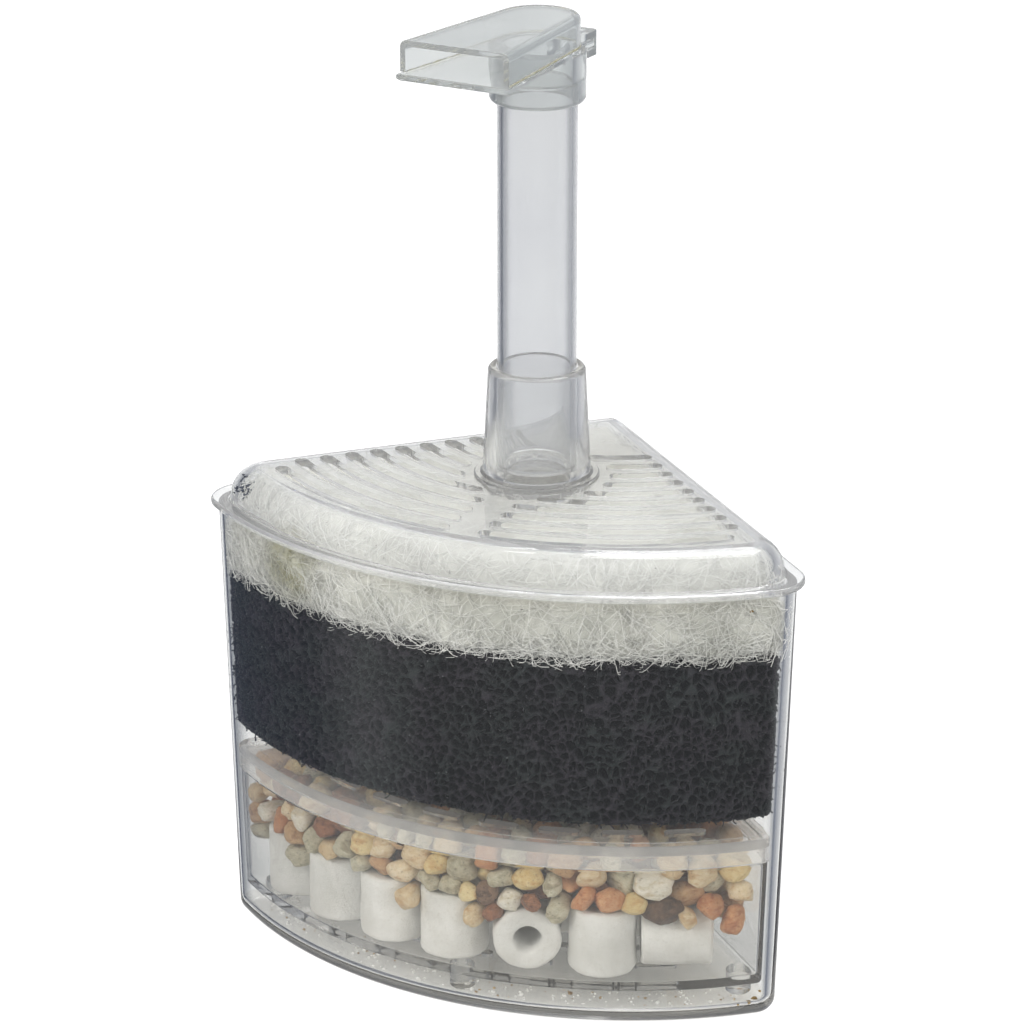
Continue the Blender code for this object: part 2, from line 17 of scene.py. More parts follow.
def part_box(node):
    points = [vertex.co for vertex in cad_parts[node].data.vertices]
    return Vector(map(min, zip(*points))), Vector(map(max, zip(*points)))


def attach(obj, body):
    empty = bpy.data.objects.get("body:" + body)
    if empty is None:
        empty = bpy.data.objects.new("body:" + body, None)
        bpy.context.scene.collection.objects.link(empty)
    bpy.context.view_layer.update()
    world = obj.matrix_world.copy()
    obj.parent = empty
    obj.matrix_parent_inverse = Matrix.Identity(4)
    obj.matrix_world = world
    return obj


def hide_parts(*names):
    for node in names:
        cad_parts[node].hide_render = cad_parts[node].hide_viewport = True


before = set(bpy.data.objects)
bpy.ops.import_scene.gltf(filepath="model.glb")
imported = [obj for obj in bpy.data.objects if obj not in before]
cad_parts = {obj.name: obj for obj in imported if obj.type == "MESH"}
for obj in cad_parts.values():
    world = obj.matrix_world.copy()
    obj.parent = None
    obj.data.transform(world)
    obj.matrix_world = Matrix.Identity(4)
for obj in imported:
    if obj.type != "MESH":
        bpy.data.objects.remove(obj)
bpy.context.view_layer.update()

MM = 0.001
GAP = 0.3 * MM
HALF_TURN = math.pi / 2
EIGHTH_TURN = math.pi / 4

# ---- sizes that the CAD boxes don't give

BACK_ROUND = 6.5 * MM
FRONT_ROUND = 7.0 * MM
BOX_DRAFT = 2.4 * MM
BOX_WALL = 2.0 * MM
BOX_FLOOR = 2.0 * MM
BOX_LIP = 0.45 * MM
BASE_ROUND = 3.0 * MM

FLANGE_THICK = 1.5 * MM
FLANGE_EDGE = 0.6 * MM
DOME_INSET = 1.4 * MM
DOME_WALL = 2.0 * MM
DOME_ROUND = 6.2 * MM
DOME_FRONT_ROUND = 10.0 * MM
DOME_FOOT = 0.6 * MM
LID_PLATE = 1.8 * MM
SKIRT_DROP = 1.4 * MM
SKIRT_INSET = 2.45 * MM
SLOT_CENTRE_Y = 42.0 * MM
SLOT_FRONT_RADIUS = 77.4 * MM
SLOT_PITCH = 5.4 * MM
SLOT_WIDTH = 2.8 * MM
SLOT_ROWS = 10
SLOT_EDGE = 3.9 * MM
FRONT_SLOT_CUT_BACK = 3.0 * MM
RIB_HALF = 3.1 * MM
RING_STEP_RADIUS = 12.75 * MM
RING_STEP_HEIGHT = 0.8 * MM
SOCKET_BASE_RADIUS = 11.0 * MM
SOCKET_TOP_RADIUS = 9.9 * MM
SOCKET_RIM = 1.0 * MM
SPIGOT_RADIUS = 10.0 * MM
LEDGE_THICK = 2.0 * MM

TUBE_BORE = 6.9 * MM
TUBE_LIP = 0.3 * MM
SPOUT_TURN = math.radians(-5.5)
COLLAR_RADIUS = 9.6 * MM
COLLAR_ROUND = 1.4 * MM
SPOUT_PLATE = 1.3 * MM
SPOUT_WALL = 1.2 * MM
SPOUT_EDGE = 1.3 * MM
SPOUT_BACK_RADIUS = 8.4 * MM
SPOUT_REACH = 32.2 * MM
SPOUT_HALF_MOUTH = 11.9 * MM
SPOUT_LIP = 0.7 * MM
LUG_REACH = 18.2 * MM
LUG_START = 8.0 * MM
LUG_HALF = 3.6 * MM
LUG_DROP = 3.7 * MM
AIR_HOLE_RADIUS = 1.2 * MM

TRAY_CLEARANCE = 0.85 * MM
TRAY_WALL = 1.4 * MM
TRAY_BASE = 6.5 * MM
TRAY_FLOOR = 8.0 * MM
TRAY_ROUND = 0.8 * MM
TRAY_LIP = 0.25 * MM
TRAY_STEP_Z = 33.4 * MM
TRAY_STEP = 0.65 * MM
TRAY_FOOT_RADIUS = 2.6 * MM
TRAY_FEET = ((0.0, 30.5), (51.5, -15.5), (-51.5, -15.5), (0.0, -36.0))
COVER_SKIRT = 0.7 * MM
COVER_PLATE = 1.4 * MM
COVER_RECESS = 0.8 * MM
COVER_ROUND = 0.7 * MM
COVER_RIM = 2.6 * MM
GRILLE_SLOT = (8.5 * MM, 2.2 * MM)
GRILLE_BAR = 4.0 * MM
GRILLE_CORE = 22.0 * MM
# Radius of the front row, pitch of the rows and margin at the flat sides.
TRAY_GRILLE = (78.0 * MM, 7.5 * MM, 14.0 * MM)
COVER_GRILLE = (80.0 * MM, 6.5 * MM, 11.0 * MM)

FOAM_EDGE = BOX_WALL + 0.5 * MM
FOAM_CELL = 1.85 * MM
FOAM_PIT = 1.5 * MM
FOAM_STRUTS = 5200
FLOSS_CHAMFER = 3.6 * MM
FLOSS_FIBRES = 19000
STAIN = (-38.0 * MM, -31.5 * MM, 86.5 * MM)

RING_BORE = 2.7 * MM
RING_EDGE = 1.1 * MM
LYING_RINGS = {"ceramic_ring_06": math.radians(-65.7), "ceramic_ring_07": math.radians(24.3)}
PEBBLES = 560
PEBBLE_REST = 9.0 * MM
PEBBLE_KINDS = (
    # name, pale, deep, spots, roughness, share
    ("pebble_cream", (236, 222, 194), (214, 190, 150), (186, 150, 104), 0.42, 0.24),
    ("pebble_yellow", (232, 216, 170), (212, 184, 124), (186, 140, 82), 0.38, 0.16),
    ("pebble_tan", (216, 184, 142), (180, 140, 98), (140, 96, 62), 0.40, 0.14),
    ("pebble_orange", (224, 180, 136), (196, 136, 92), (156, 92, 60), 0.36, 0.07),
    ("pebble_rust", (172, 120, 86), (122, 78, 54), (74, 50, 40), 0.34, 0.04),
    ("pebble_brown", (142, 112, 88), (98, 76, 60), (60, 46, 40), 0.36, 0.03),
    ("pebble_grey", (212, 207, 186), (180, 173, 148), (140, 128, 100), 0.40, 0.10),
    ("pebble_white", (242, 238, 228), (222, 214, 196), (200, 186, 158), 0.42, 0.10))

ARC_STEPS = 72
FILLET_STEPS = 10
TURN_STEPS = 72

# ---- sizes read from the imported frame

tub_low, tub_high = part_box("outer_tub")
lid_low, lid_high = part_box("lid")
riser_low, riser_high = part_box("riser_tube")
down_low, down_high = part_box("down_tube")
base_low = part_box("spout_base")[0]
cover_low, cover_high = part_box("spout_cover")
tray_low, tray_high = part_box("tray")
lattice_low, lattice_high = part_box("tray_cover")
foam_low, foam_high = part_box("sponge_block")
floss_low, floss_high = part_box("floss_pad")
gravel_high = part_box("gravel_bed")[1]
ring_low, ring_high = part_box("ceramic_ring_01")

CORNER_Y = tub_high.y + BACK_ROUND * (math.sqrt(2) - 1)
BOX_RADIUS = CORNER_Y - tub_low.y
BOX_HEIGHT = tub_high.z
FLANGE_LIP = tub_low.y - lid_low.y
FLANGE_Z = BOX_HEIGHT + GAP
SKIRT_LOW = FLANGE_Z - SKIRT_DROP
LID_TOP = floss_high.z + 0.4 * MM + LID_PLATE
SOCKET_TOP = lid_high.z
SPIGOT_BOTTOM = lid_low.z
TUBE_RADIUS = riser_high.x
TUBE_SOCKET_BORE = TUBE_RADIUS + 0.25 * MM
SPOUT_FLOOR = cover_low.z - GAP - SPOUT_PLATE
SPOUT_SEAM = SPOUT_FLOOR + SPOUT_PLATE


# ---- plan shape


def arc(cx, cy, radius, start, end, steps):
    angles = np.linspace(start, end, steps + 1)
    return np.column_stack([cx + radius * np.cos(angles), cy + radius * np.sin(angles)])


def outline(inset, front_round=FRONT_ROUND):
    """The box's plan, offset inwards: back fillet, left side, front fillet, round front, front fillet."""
    reach = BOX_RADIUS - front_round
    turn = EIGHTH_TURN - math.asin(front_round / reach)
    fillet = max(front_round - inset, 0.4 * MM)
    back = max(BACK_ROUND - inset, 0.4 * MM)
    left, right = -HALF_TURN - turn, -HALF_TURN + turn
    back_y = CORNER_Y - (back + inset) * math.sqrt(2)
    slack = fillet - (front_round - inset)
    mid_x = reach * math.cos(right) - slack
    mid_y = CORNER_Y + reach * math.sin(right) + slack * 0.3
    return np.vstack([
        arc(0, back_y, back, EIGHTH_TURN, 3 * EIGHTH_TURN, FILLET_STEPS),
        arc(-mid_x, mid_y, fillet, 3 * EIGHTH_TURN, 2 * math.pi + left, FILLET_STEPS),
        arc(0, CORNER_Y, BOX_RADIUS - inset, left, right, ARC_STEPS)[1:-1],
        arc(mid_x, mid_y, fillet, right, EIGHTH_TURN, FILLET_STEPS)])


def dome_outline(inset):
    return outline(inset, DOME_FRONT_ROUND)


def on_front(angle, reach):
    """Plan points at this distance from the back corner; the angle is 0 at the middle of the round front."""
    return np.column_stack([np.sin(angle) * reach, CORNER_Y - np.cos(angle) * reach])


def box_inset(z):
    return BOX_DRAFT * (1 - z / BOX_HEIGHT)


def box_inner(z):
    return box_inset(z) + BOX_WALL


def tray_inset(z):
    return box_inner(z) + TRAY_CLEARANCE


def dome_slope(z):
    """How far the dome's outer face has drawn in at this height, over its rounded edge."""
    lean = np.maximum(z - (LID_TOP - DOME_ROUND), 0)
    return DOME_ROUND - np.sqrt(DOME_ROUND ** 2 - lean ** 2)


def depth_inside(points, front_round=FRONT_ROUND):
    """How far points lie inside the rim's plan outline; fillets included."""
    x, y = points[:, 0], points[:, 1]
    left = (CORNER_Y - y + x) / math.sqrt(2)
    right = (CORNER_Y - y - x) / math.sqrt(2)
    front = BOX_RADIUS - np.hypot(x, y - CORNER_Y)

    def corner(a, b, radius):
        inner = radius - np.hypot(np.maximum(radius - a, 0), np.maximum(radius - b, 0))
        return np.where((a < radius) & (b < radius), inner, np.minimum(a, b))

    fronts = np.minimum(corner(left, front, front_round), corner(right, front, front_round))
    return np.minimum(corner(left, right, BACK_ROUND), fronts)


def push_inside(points, least, front_round=FRONT_ROUND):
    """Moves points inwards in plan until each is at least `least` inside the rim's outline."""
    step = 0.05 * MM
    for _ in range(3):
        here = depth_inside(points, front_round)
        short = np.maximum(least - here, 0)
        if not short.any():
            break
        slope = np.column_stack([
            depth_inside(points + np.array([step, 0, 0]), front_round) - here,
            depth_inside(points + np.array([0, step, 0]), front_round) - here]) / step
        size = np.maximum(np.linalg.norm(slope, axis=1), 0.3)
        points[:, :2] += slope / size[:, None] * short[:, None]
    return points


def rounded(radius, steps):
    """A quarter circle from upright to level, as (inward, upward) steps."""
    angles = [HALF_TURN * i / steps for i in range(steps + 1)]
    return [(radius * (1 - math.cos(a)), radius * math.sin(a)) for a in angles]


def top_edge(plan, inset, top, radius, steps):
    """Sections up a rounded upper edge, from the wall at this inset to the flat top."""
    return [(plan(inset + inward), top - radius + upward) for inward, upward in rounded(radius, steps)]


def bottom_edge(plan, inset, bottom, radius, steps):
    """Sections up a rounded lower edge, from the flat bottom to the wall at this inset."""
    return [(plan(inset + inward), bottom + radius - upward)
            for inward, upward in reversed(rounded(radius, steps))]


# ---- mesh making


def add(name, points, faces, look=None):
    mesh = bpy.data.meshes.new(name)
    mesh.from_pydata([tuple(p) for p in points], [], faces)
    mesh.update()
    if look is not None:
        mesh.materials.append(look)
    obj = bpy.data.objects.new(name, mesh)
    bpy.context.scene.collection.objects.link(obj)
    return obj


def face_outwards(obj):
    shape = bmesh.new()
    shape.from_mesh(obj.data)
    bmesh.ops.recalc_face_normals(shape, faces=shape.faces)
    shape.to_mesh(obj.data)
    shape.free()
    return obj


def loft(name, sections, look=None):
    """A closed body through stacked outlines with one point count; each section is (outline, z)."""
    count = len(sections[0][0])
    points = np.vstack([np.column_stack([plan, np.full(count, z)]) for plan, z in sections])
    faces = []
    for level in range(len(sections) - 1):
        low, high = level * count, (level + 1) * count
        faces += [(low + i, low + (i + 1) % count, high + (i + 1) % count, high + i) for i in range(count)]
    last = (len(sections) - 1) * count
    faces.append(tuple(range(count))[::-1])
    faces.append(tuple(range(last, last + count)))
    return face_outwards(add(name, points, faces, look))


def turned(name, profile, look=None, steps=TURN_STEPS, ring=False):
    """A body turned about Z from (radius, z) points; a point on the axis closes an end."""
    points, starts = [], []
    for radius, z in profile:
        starts.append(len(points))
        if radius == 0:
            points.append((0, 0, z))
            continue
        for i in range(steps):
            angle = 2 * math.pi * i / steps
            points.append((radius * math.cos(angle), radius * math.sin(angle), z))
    pairs = list(zip(range(len(profile)), range(1, len(profile))))
    if ring:
        pairs.append((len(profile) - 1, 0))
    faces = []
    for a, b in pairs:
        for i in range(steps):
            j = (i + 1) % steps
            first = [starts[a]] if profile[a][0] == 0 else [starts[a] + i, starts[a] + j]
            second = [starts[b]] if profile[b][0] == 0 else [starts[b] + j, starts[b] + i]
            faces.append(tuple(first + second))
    return face_outwards(add(name, points, faces, look))


def cylinder(name, radius, low, high, steps=TURN_STEPS):
    return turned(name, [(0, high), (radius, high), (radius, low), (0, low)], steps=steps)


def prisms(name, outlines, low, high):
    """Separate straight-sided blocks in one mesh, used as a cutter."""
    points, faces = [], []
    for plan in outlines:
        count, first = len(plan), len(points)
        points += [(x, y, low) for x, y in plan] + [(x, y, high) for x, y in plan]
        for i in range(count):
            j = (i + 1) % count
            faces.append((first + i, first + j, first + count + j, first + count + i))
        faces.append(tuple(range(first, first + count))[::-1])
        faces.append(tuple(range(first + count, first + 2 * count)))
    return face_outwards(add(name, points, faces))


def strand_mesh(name, paths, radii, sides, look):
    """Thin round strands along paths, all in one mesh."""
    points, faces = [], []
    angles = [2 * math.pi * k / sides for k in range(sides)]
    ring = [(math.cos(a), math.sin(a)) for a in angles]
    for path, widths in zip(paths, radii):
        first = len(points)
        line = np.array([tuple(p) for p in path], float)
        run = np.gradient(line, axis=0)
        run /= np.maximum(np.linalg.norm(run, axis=1), 1e-12)[:, None]
        helper = np.array([0.0, 0.0, 1.0]) if abs(run[0, 2]) < 0.8 else np.array([1.0, 0.0, 0.0])
        side = np.cross(run, helper)
        side /= np.maximum(np.linalg.norm(side, axis=1), 1e-12)[:, None]
        up = np.cross(run, side)
        count = len(line)
        for i in range(count):
            points += [tuple(line[i] + widths[i] * (c * side[i] + s * up[i])) for c, s in ring]
        for i in range(count - 1):
            for k in range(sides):
                a, b = first + i * sides + k, first + i * sides + (k + 1) % sides
                faces.append((a, b, b + sides, a + sides))
        faces.append(tuple(first + k for k in range(sides)))
        end = first + (count - 1) * sides
        faces.append(tuple(end + sides - 1 - k for k in range(sides)))
    strands = add(name, points, faces, look)
    strands.data.shade_smooth()
    return strands


def icosphere(subdivisions):
    start = bmesh.new()
    bmesh.ops.create_icosphere(start, subdivisions=subdivisions, radius=1.0)
    points = np.array([tuple(v.co) for v in start.verts])
    triangles = np.array([[v.index for v in f.verts] for f in start.faces])
    start.free()
    return points, triangles


def apply_modifiers(obj):
    graph = bpy.context.evaluated_depsgraph_get()
    mesh = bpy.data.meshes.new_from_object(obj.evaluated_get(graph))
    obj.modifiers.clear()
    old = obj.data
    obj.data = mesh
    bpy.data.meshes.remove(old)
    return obj


def combine(obj, *steps):
    """Applies exact Booleans in turn and removes the helper objects."""
    for number, (other, operation) in enumerate(steps):
        modifier = obj.modifiers.new(f"step_{number}", "BOOLEAN")
        modifier.solver = "EXACT"
        modifier.operation = operation
        modifier.object = other
    apply_modifiers(obj)
    for other, _ in steps:
        bpy.data.objects.remove(other)
    return obj


def soften(obj, width=0.0, angle=55):
    """Rounds the sharp edges, then shades smooth except across what is left sharp."""
    if width:
        bevel = obj.modifiers.new("edge", "BEVEL")
        bevel.width = width
        bevel.segments = 2
        bevel.limit_method = "ANGLE"
        bevel.angle_limit = math.radians(angle)
        bevel.use_clamp_overlap = True
        apply_modifiers(obj)
    obj.data.shade_smooth()
    obj.data.set_sharp_from_angle(angle=math.radians(32))
    # Flat faces keep their own normal, so that glass doesn't bend the light like a cushion.
    weigh = obj.modifiers.new("flat_faces", "WEIGHTED_NORMAL")
    weigh.mode = "FACE_AREA"
    weigh.weight = 100
    weigh.keep_sharp = True
    return apply_modifiers(obj)


def points_of(mesh):
    points = np.empty(len(mesh.vertices) * 3, np.float32)
    mesh.vertices.foreach_get("co", points)
    normals = np.empty(len(mesh.vertices) * 3, np.float32)
    mesh.vertices.foreach_get("normal", normals)
    return points.reshape(-1, 3).astype(float), normals.reshape(-1, 3).astype(float)


def set_points(mesh, points):
    mesh.vertices.foreach_set("co", points.astype(np.float32).ravel())
    mesh.update()
    mesh.shade_smooth()


def store(mesh, name, values):
    attribute = mesh.attributes.new(name, "FLOAT", "POINT")
    attribute.data.foreach_set("value", np.asarray(values, np.float32))


def second_look(obj, look, chosen):
    """Gives this look to the faces for which chosen(lowest z, highest z) is true."""
    obj.data.materials.append(look)
    for face in obj.data.polygons:
        heights = [obj.data.vertices[i].co.z for i in face.vertices]
        face.material_index = int(chosen(min(heights), max(heights)))


def join_frame(piece, body, node=None):
    """Rides the piece on its body, and hides the CAD node that it stands for."""
    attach(piece, body)
    if node:
        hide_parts(node)


# ---- node materials


class Nodes:
    """The node tree of a material or the world; each method adds nodes and gives back their result."""

    def __init__(self, owner, output="OutputMaterial", place="Object"):
        self.owner = owner
        owner.use_nodes = True
        self.tree = owner.node_tree
        self.tree.nodes.clear()
        self.output = self.node(output)
        self.place = self.node("TexCoord").outputs[place]

    def feed(self, socket, value):
        if isinstance(value, bpy.types.NodeSocket):
            self.tree.links.new(value, socket)
        else:
            socket.default_value = value

    def node(self, kind, settings=None, **inputs):
        """Inputs go by name with _ for a space, or by number as i0, i1 and so on."""
        made = self.tree.nodes.new("ShaderNode" + kind)
        for key, value in (settings or {}).items():
            setattr(made, key, value)
        for key, value in inputs.items():
            by_number = key[0] == "i" and key[1:].isdigit()
            self.feed(made.inputs[int(key[1:]) if by_number else key.replace("_", " ")], value)
        return made

    def stretch(self, factors):
        return self.node("Mapping", Vector=self.place, Scale=factors).outputs[0]

    def noise(self, scale, detail=4.0, rough=0.55, vector=None):
        return self.node("TexNoise", Vector=vector or self.place, Scale=scale, Detail=detail,
                         Roughness=rough).outputs["Fac"]

    def cells(self, scale, feature="F1", vector=None):
        return self.node("TexVoronoi", {"feature": feature}, Vector=vector or self.place,
                         Scale=scale).outputs["Distance"]

    def vector_math(self, operation, a, b, output=0):
        return self.node("VectorMath", {"operation": operation}, i0=a, i1=b).outputs[output]

    def math(self, operation, a, b=0.0):
        return self.node("Math", {"operation": operation}, i0=a, i1=b).outputs[0]

    def ramp(self, factor, *stops):
        """A colour ramp's outputs, from stops of (place, colour) with an optional fourth number as alpha."""
        made = self.node("ValToRGB", Fac=factor)
        steps = made.color_ramp.elements
        steps.remove(steps[1])
        for number, (at, colour) in enumerate(stops):
            step = steps.new(at) if number else steps[0]
            step.position = at
            step.color = colour if len(colour) == 4 else (*colour, 1.0)
        return made.outputs

    def colours(self, factor, *stops):
        return self.ramp(factor, *stops)["Color"]

    def value(self, factor, low, high, start=0.0, end=1.0):
        return self.node("MapRange", Value=factor, From_Min=start, From_Max=end, To_Min=low,
                         To_Max=high).outputs["Result"]

    def mix(self, factor, a, b):
        return self.node("Mix", {"data_type": "RGBA"}, i0=factor, i6=a, i7=b).outputs[2]

    def mix_shaders(self, factor, a, b):
        return self.node("MixShader", i0=factor, i1=a, i2=b).outputs[0]

    def bump(self, height, strength, distance, **normal):
        made = self.node("Bump", Height=height, Strength=strength, Distance=distance, **normal)
        return made.outputs["Normal"]

    def surface(self, **inputs):
        return self.node("BsdfPrincipled", **inputs).outputs[0]

    def finish(self, shader):
        self.tree.links.new(shader, self.output.inputs["Surface"])
        return self.owner


def new_look(name):
    return Nodes(bpy.data.materials.new(name))


def linear(r, g, b):
    """sRGB 0-255 to scene-linear colour with alpha."""
    return tuple(((c / 255 + 0.055) / 1.055) ** 2.4 if c > 10 else c / 255 / 12.92 for c in (r, g, b)) + (1.0,)


BLACK, WHITE = (0, 0, 0), (1, 1, 1)


def clear_look(name, tint, haze, waviness, clear, index=1.5):
    """Clear moulded plastic, a little milky: glass to the eye, see-through for lamps and diffuse light."""
    look = new_look(name)
    cloud = look.noise(38.0, 3.0)
    colour = look.mix(look.value(cloud, 0.0, 1.0, 0.35, 0.7), linear(*tint), linear(*haze))
    smear = look.noise(210.0, 5.0, vector=look.stretch((1.0, 1.0, 0.3)))
    rough = look.value(smear, 0.0, 0.035, 0.45, 0.85)
    scratch = look.noise(900.0, 2.0, vector=look.stretch((1.0, 0.06, 0.35)))
    fine = look.colours(scratch, (0.66, BLACK), (0.70, WHITE))
    normal = look.bump(look.noise(75.0, 2.0), waviness, 0.2 * MM)
    normal = look.bump(fine, 0.06, 0.03 * MM, Normal=normal)
    glass = look.surface(Base_Color=colour, Roughness=rough, IOR=index, Transmission_Weight=clear,
                         Normal=normal)
    through = look.node("BsdfTransparent", Color=linear(243, 242, 240)).outputs[0]
    path = look.node("LightPath").outputs
    lit_through = look.math("MAXIMUM", path["Is Shadow Ray"], path["Is Diffuse Ray"])
    return look.finish(look.mix_shaders(lit_through, glass, through))


def ceramic_look():
    look = new_look("white_ceramic")
    cloud = look.noise(120.0, 6.0)
    colour = look.colours(cloud, (0.3, linear(226, 226, 223)), (0.62, linear(248, 249, 248)))
    pits = look.colours(look.cells(1500.0), (0.12, BLACK), (0.30, WHITE))
    colour = look.mix(look.value(pits, 0.45, 0.0), colour, linear(196, 192, 184))
    normal = look.bump(look.noise(1300.0, 6.0, 0.75), 0.9, 0.4 * MM)
    normal = look.bump(pits, 0.5, 0.10 * MM, Normal=normal)
    return look.finish(look.surface(
        Base_Color=colour, Roughness=look.value(cloud, 0.8, 0.95), Normal=normal, Subsurface_Weight=0.15,
        Subsurface_Radius=(0.002, 0.002, 0.002), Specular_IOR_Level=0.25))


def pebble_look(name, pale, deep, spots, gloss):
    look = new_look(name)
    shade = look.node("Attribute", {"attribute_name": "shade"}).outputs["Fac"]
    cloud = look.noise(800.0, 8.0, 0.78)
    blend = look.math("ADD", look.math("MULTIPLY", cloud, 1.9), look.math("MULTIPLY", shade, 0.4))
    colour = look.mix(look.value(blend, 0.0, 1.0, 0.85, 1.45), linear(*pale), linear(*deep))
    band = look.noise(300.0, 6.0, 0.65, look.stretch((1.0, 0.8, 1.8)))
    colour = look.mix(look.value(band, 0.0, 0.8, 0.50, 0.64), colour, linear(*spots))
    wander = look.node("TexNoise", Vector=look.place, Scale=300.0).outputs["Color"]
    vein = look.cells(140.0, "DISTANCE_TO_EDGE", look.vector_math("ADD", look.place, wander))
    colour = look.mix(look.value(vein, 0.5, 0.0, 0.0, 0.05), colour, linear(*spots))
    grain = look.noise(2600.0, 3.0, 0.7)
    colour = look.mix(look.value(grain, 0.0, 0.45, 0.5, 0.75), colour, linear(*deep))
    speck = look.colours(look.cells(1100.0), (0.12, WHITE), (0.24, BLACK))
    colour = look.mix(look.math("MULTIPLY", speck, 0.5), colour, linear(*[int(c * 0.55) for c in spots]))
    normal = look.bump(look.noise(700.0, 7.0, 0.65), 0.7, 0.35 * MM)
    return look.finish(look.surface(
        Base_Color=colour, Roughness=look.value(cloud, gloss, gloss + 0.25), Normal=normal,
        Subsurface_Weight=0.2, Subsurface_Radius=(0.002, 0.0015, 0.001)))


def foam_look():
    look = new_look("black_foam")
    depth = look.node("Attribute", {"attribute_name": "pit_shade"}).outputs["Fac"]
    tone = look.noise(60.0, 4.0)
    strut = look.mix(tone, linear(50, 50, 54), linear(28, 29, 31))
    # Painted sheen: green and purple tinges mixed into the struts' colour at random.
    sheen_tinge = look.colours(look.noise(120.0, 3.0), (0.42, linear(38, 48, 44)), (0.58, linear(52, 46, 54)))
    strut = look.mix(0.45, strut, sheen_tinge)
    # Painted shade: the deeper a point lies in a pit, the nearer black its colour.
    colour = look.mix(look.value(depth, 0.0, 1.0, 0.02, 0.6), strut, linear(6, 6, 8))
    # Painted glints: bright specks mixed into the colour.
    painted_glint = look.colours(look.noise(1500.0, 2.0), (0.72, BLACK), (0.76, WHITE))
    colour = look.mix(look.math("MULTIPLY", painted_glint, 0.6), colour, linear(150, 152, 156))
    normal = look.bump(look.noise(900.0, 4.0), 0.6, 0.15 * MM)
    return look.finish(look.surface(Base_Color=colour, Roughness=look.value(tone, 0.32, 0.55), Normal=normal,
                                    Specular_IOR_Level=0.3))


def floss_look(name, deep, pale):
    look = new_look(name)
    colour = look.colours(look.noise(55.0, 5.0, 0.6), (0.32, linear(*deep)), (0.55, linear(*pale)))
    strands = look.noise(700.0, 6.0, 0.7, look.stretch((1.0, 1.0, 0.35)))
    colour = look.mix(look.value(strands, 0.0, 0.25, 0.55, 0.75), colour, linear(176, 178, 172))
    # Old biofilm: one khaki patch low on the left of the front.
    away = look.vector_math("DISTANCE", look.place, STAIN, "Value")
    near = look.value(away, 1.0, 0.0, 3.0 * MM, 9.5 * MM)
    blot = look.math("MULTIPLY", near, look.value(look.noise(260.0, 3.0), 0.2, 1.0, 0.35, 0.6))
    colour = look.mix(look.math("MULTIPLY", blot, 0.9), colour, linear(166, 164, 128))
    return look.finish(look.surface(
        Base_Color=colour, Roughness=0.85, Normal=look.bump(strands, 0.6, 0.4 * MM), Sheen_Weight=0.2,
        Subsurface_Weight=0.25, Subsurface_Radius=(0.003, 0.003, 0.003)))


def dirt_look(name, pale, deep, rough):
    look = new_look(name)
    cloud = look.noise(900.0, 5.0)
    colour = look.mix(look.value(cloud, 0.0, 1.0, 0.35, 0.65), linear(*pale), linear(*deep))
    return look.finish(look.surface(Base_Color=colour, Roughness=look.value(cloud, rough, rough + 0.2),
                                    Normal=look.bump(cloud, 0.35, 0.2 * MM)))


def glue_look():
    look = new_look("old_glue")
    colour = look.colours(look.noise(400.0, 4.0), (0.35, linear(214, 208, 170)), (0.6, linear(232, 232, 214)))
    return look.finish(look.surface(Base_Color=colour, Roughness=0.35, Transmission_Weight=0.6,
                                    Normal=look.bump(look.noise(1200.0), 0.4, 0.1 * MM)))


clear_plastic = clear_look("clear_plastic", (250, 250, 249), (244, 245, 244), 0.04, 0.99)
lid_plastic = clear_look("lid_plastic", (239, 240, 240), (232, 233, 234), 0.015, 0.90)
socket_plastic = clear_look("socket_plastic", (247, 248, 249), (241, 242, 243), 0.015, 0.92)
tube_plastic = clear_look("tube_plastic", (233, 234, 235), (228, 229, 231), 0.02, 0.94)
spout_plastic = clear_look("spout_plastic", (227, 230, 230), (214, 218, 218), 0.06, 0.89)
base_plastic = clear_look("base_plastic", (246, 246, 243), (238, 238, 235), 0.05, 0.90)
tray_plastic = clear_look("tray_plastic", (249, 249, 248), (244, 244, 243), 0.05, 0.96, 1.27)
cover_plastic = clear_look("cover_plastic", (250, 250, 249), (245, 245, 244), 0.05, 0.80, 1.27)
ceramic = ceramic_look()
foam_black = foam_look()


# ---- box


def make_box():
    sections = []
    for inward, upward in reversed(rounded(BASE_ROUND, 8)):
        z = BASE_ROUND - upward
        sections.append((outline(box_inset(z) + inward), z))
    sections += top_edge(outline, 0.0, BOX_HEIGHT, BOX_LIP, 3)
    sections += top_edge(lambda inset: outline(BOX_WALL - inset), 0.0, BOX_HEIGHT, BOX_LIP, 3)[::-1]
    inner_round = BASE_ROUND - 0.5 * BOX_FLOOR
    for inward, upward in rounded(inner_round, 6):
        z = BOX_FLOOR + inner_round - upward
        sections.append((outline(box_inner(z) + inward), z))
    tub = soften(loft("tub_shell", sections, clear_plastic))
    # The thick base shows more of the plastic's milkiness than the walls.
    second_look(tub, base_plastic, lambda low, high: high < BASE_ROUND + 0.5 * MM)
    join_frame(tub, "tub", "outer_tub")


# ---- lid


def slot_plan(radius, start, end):
    """An arc-shaped slot with round ends."""
    half = SLOT_WIDTH / 2
    nose = half / radius
    ends = []
    for at, facing in ((end - nose, 1), (start + nose, -1)):
        mid_x, mid_y = math.cos(at) * radius, math.sin(at) * radius + SLOT_CENTRE_Y
        heading = at + facing * HALF_TURN
        ends.append(arc(mid_x, mid_y, half, heading - HALF_TURN, heading + HALF_TURN, 8))
    outer = arc(0, SLOT_CENTRE_Y, radius + half, start + nose, end - nose, 20)[1:-1]
    inner = arc(0, SLOT_CENTRE_Y, radius - half, end - nose, start + nose, 20)[1:-1]
    return np.vstack([outer, ends[0], inner, ends[1]])


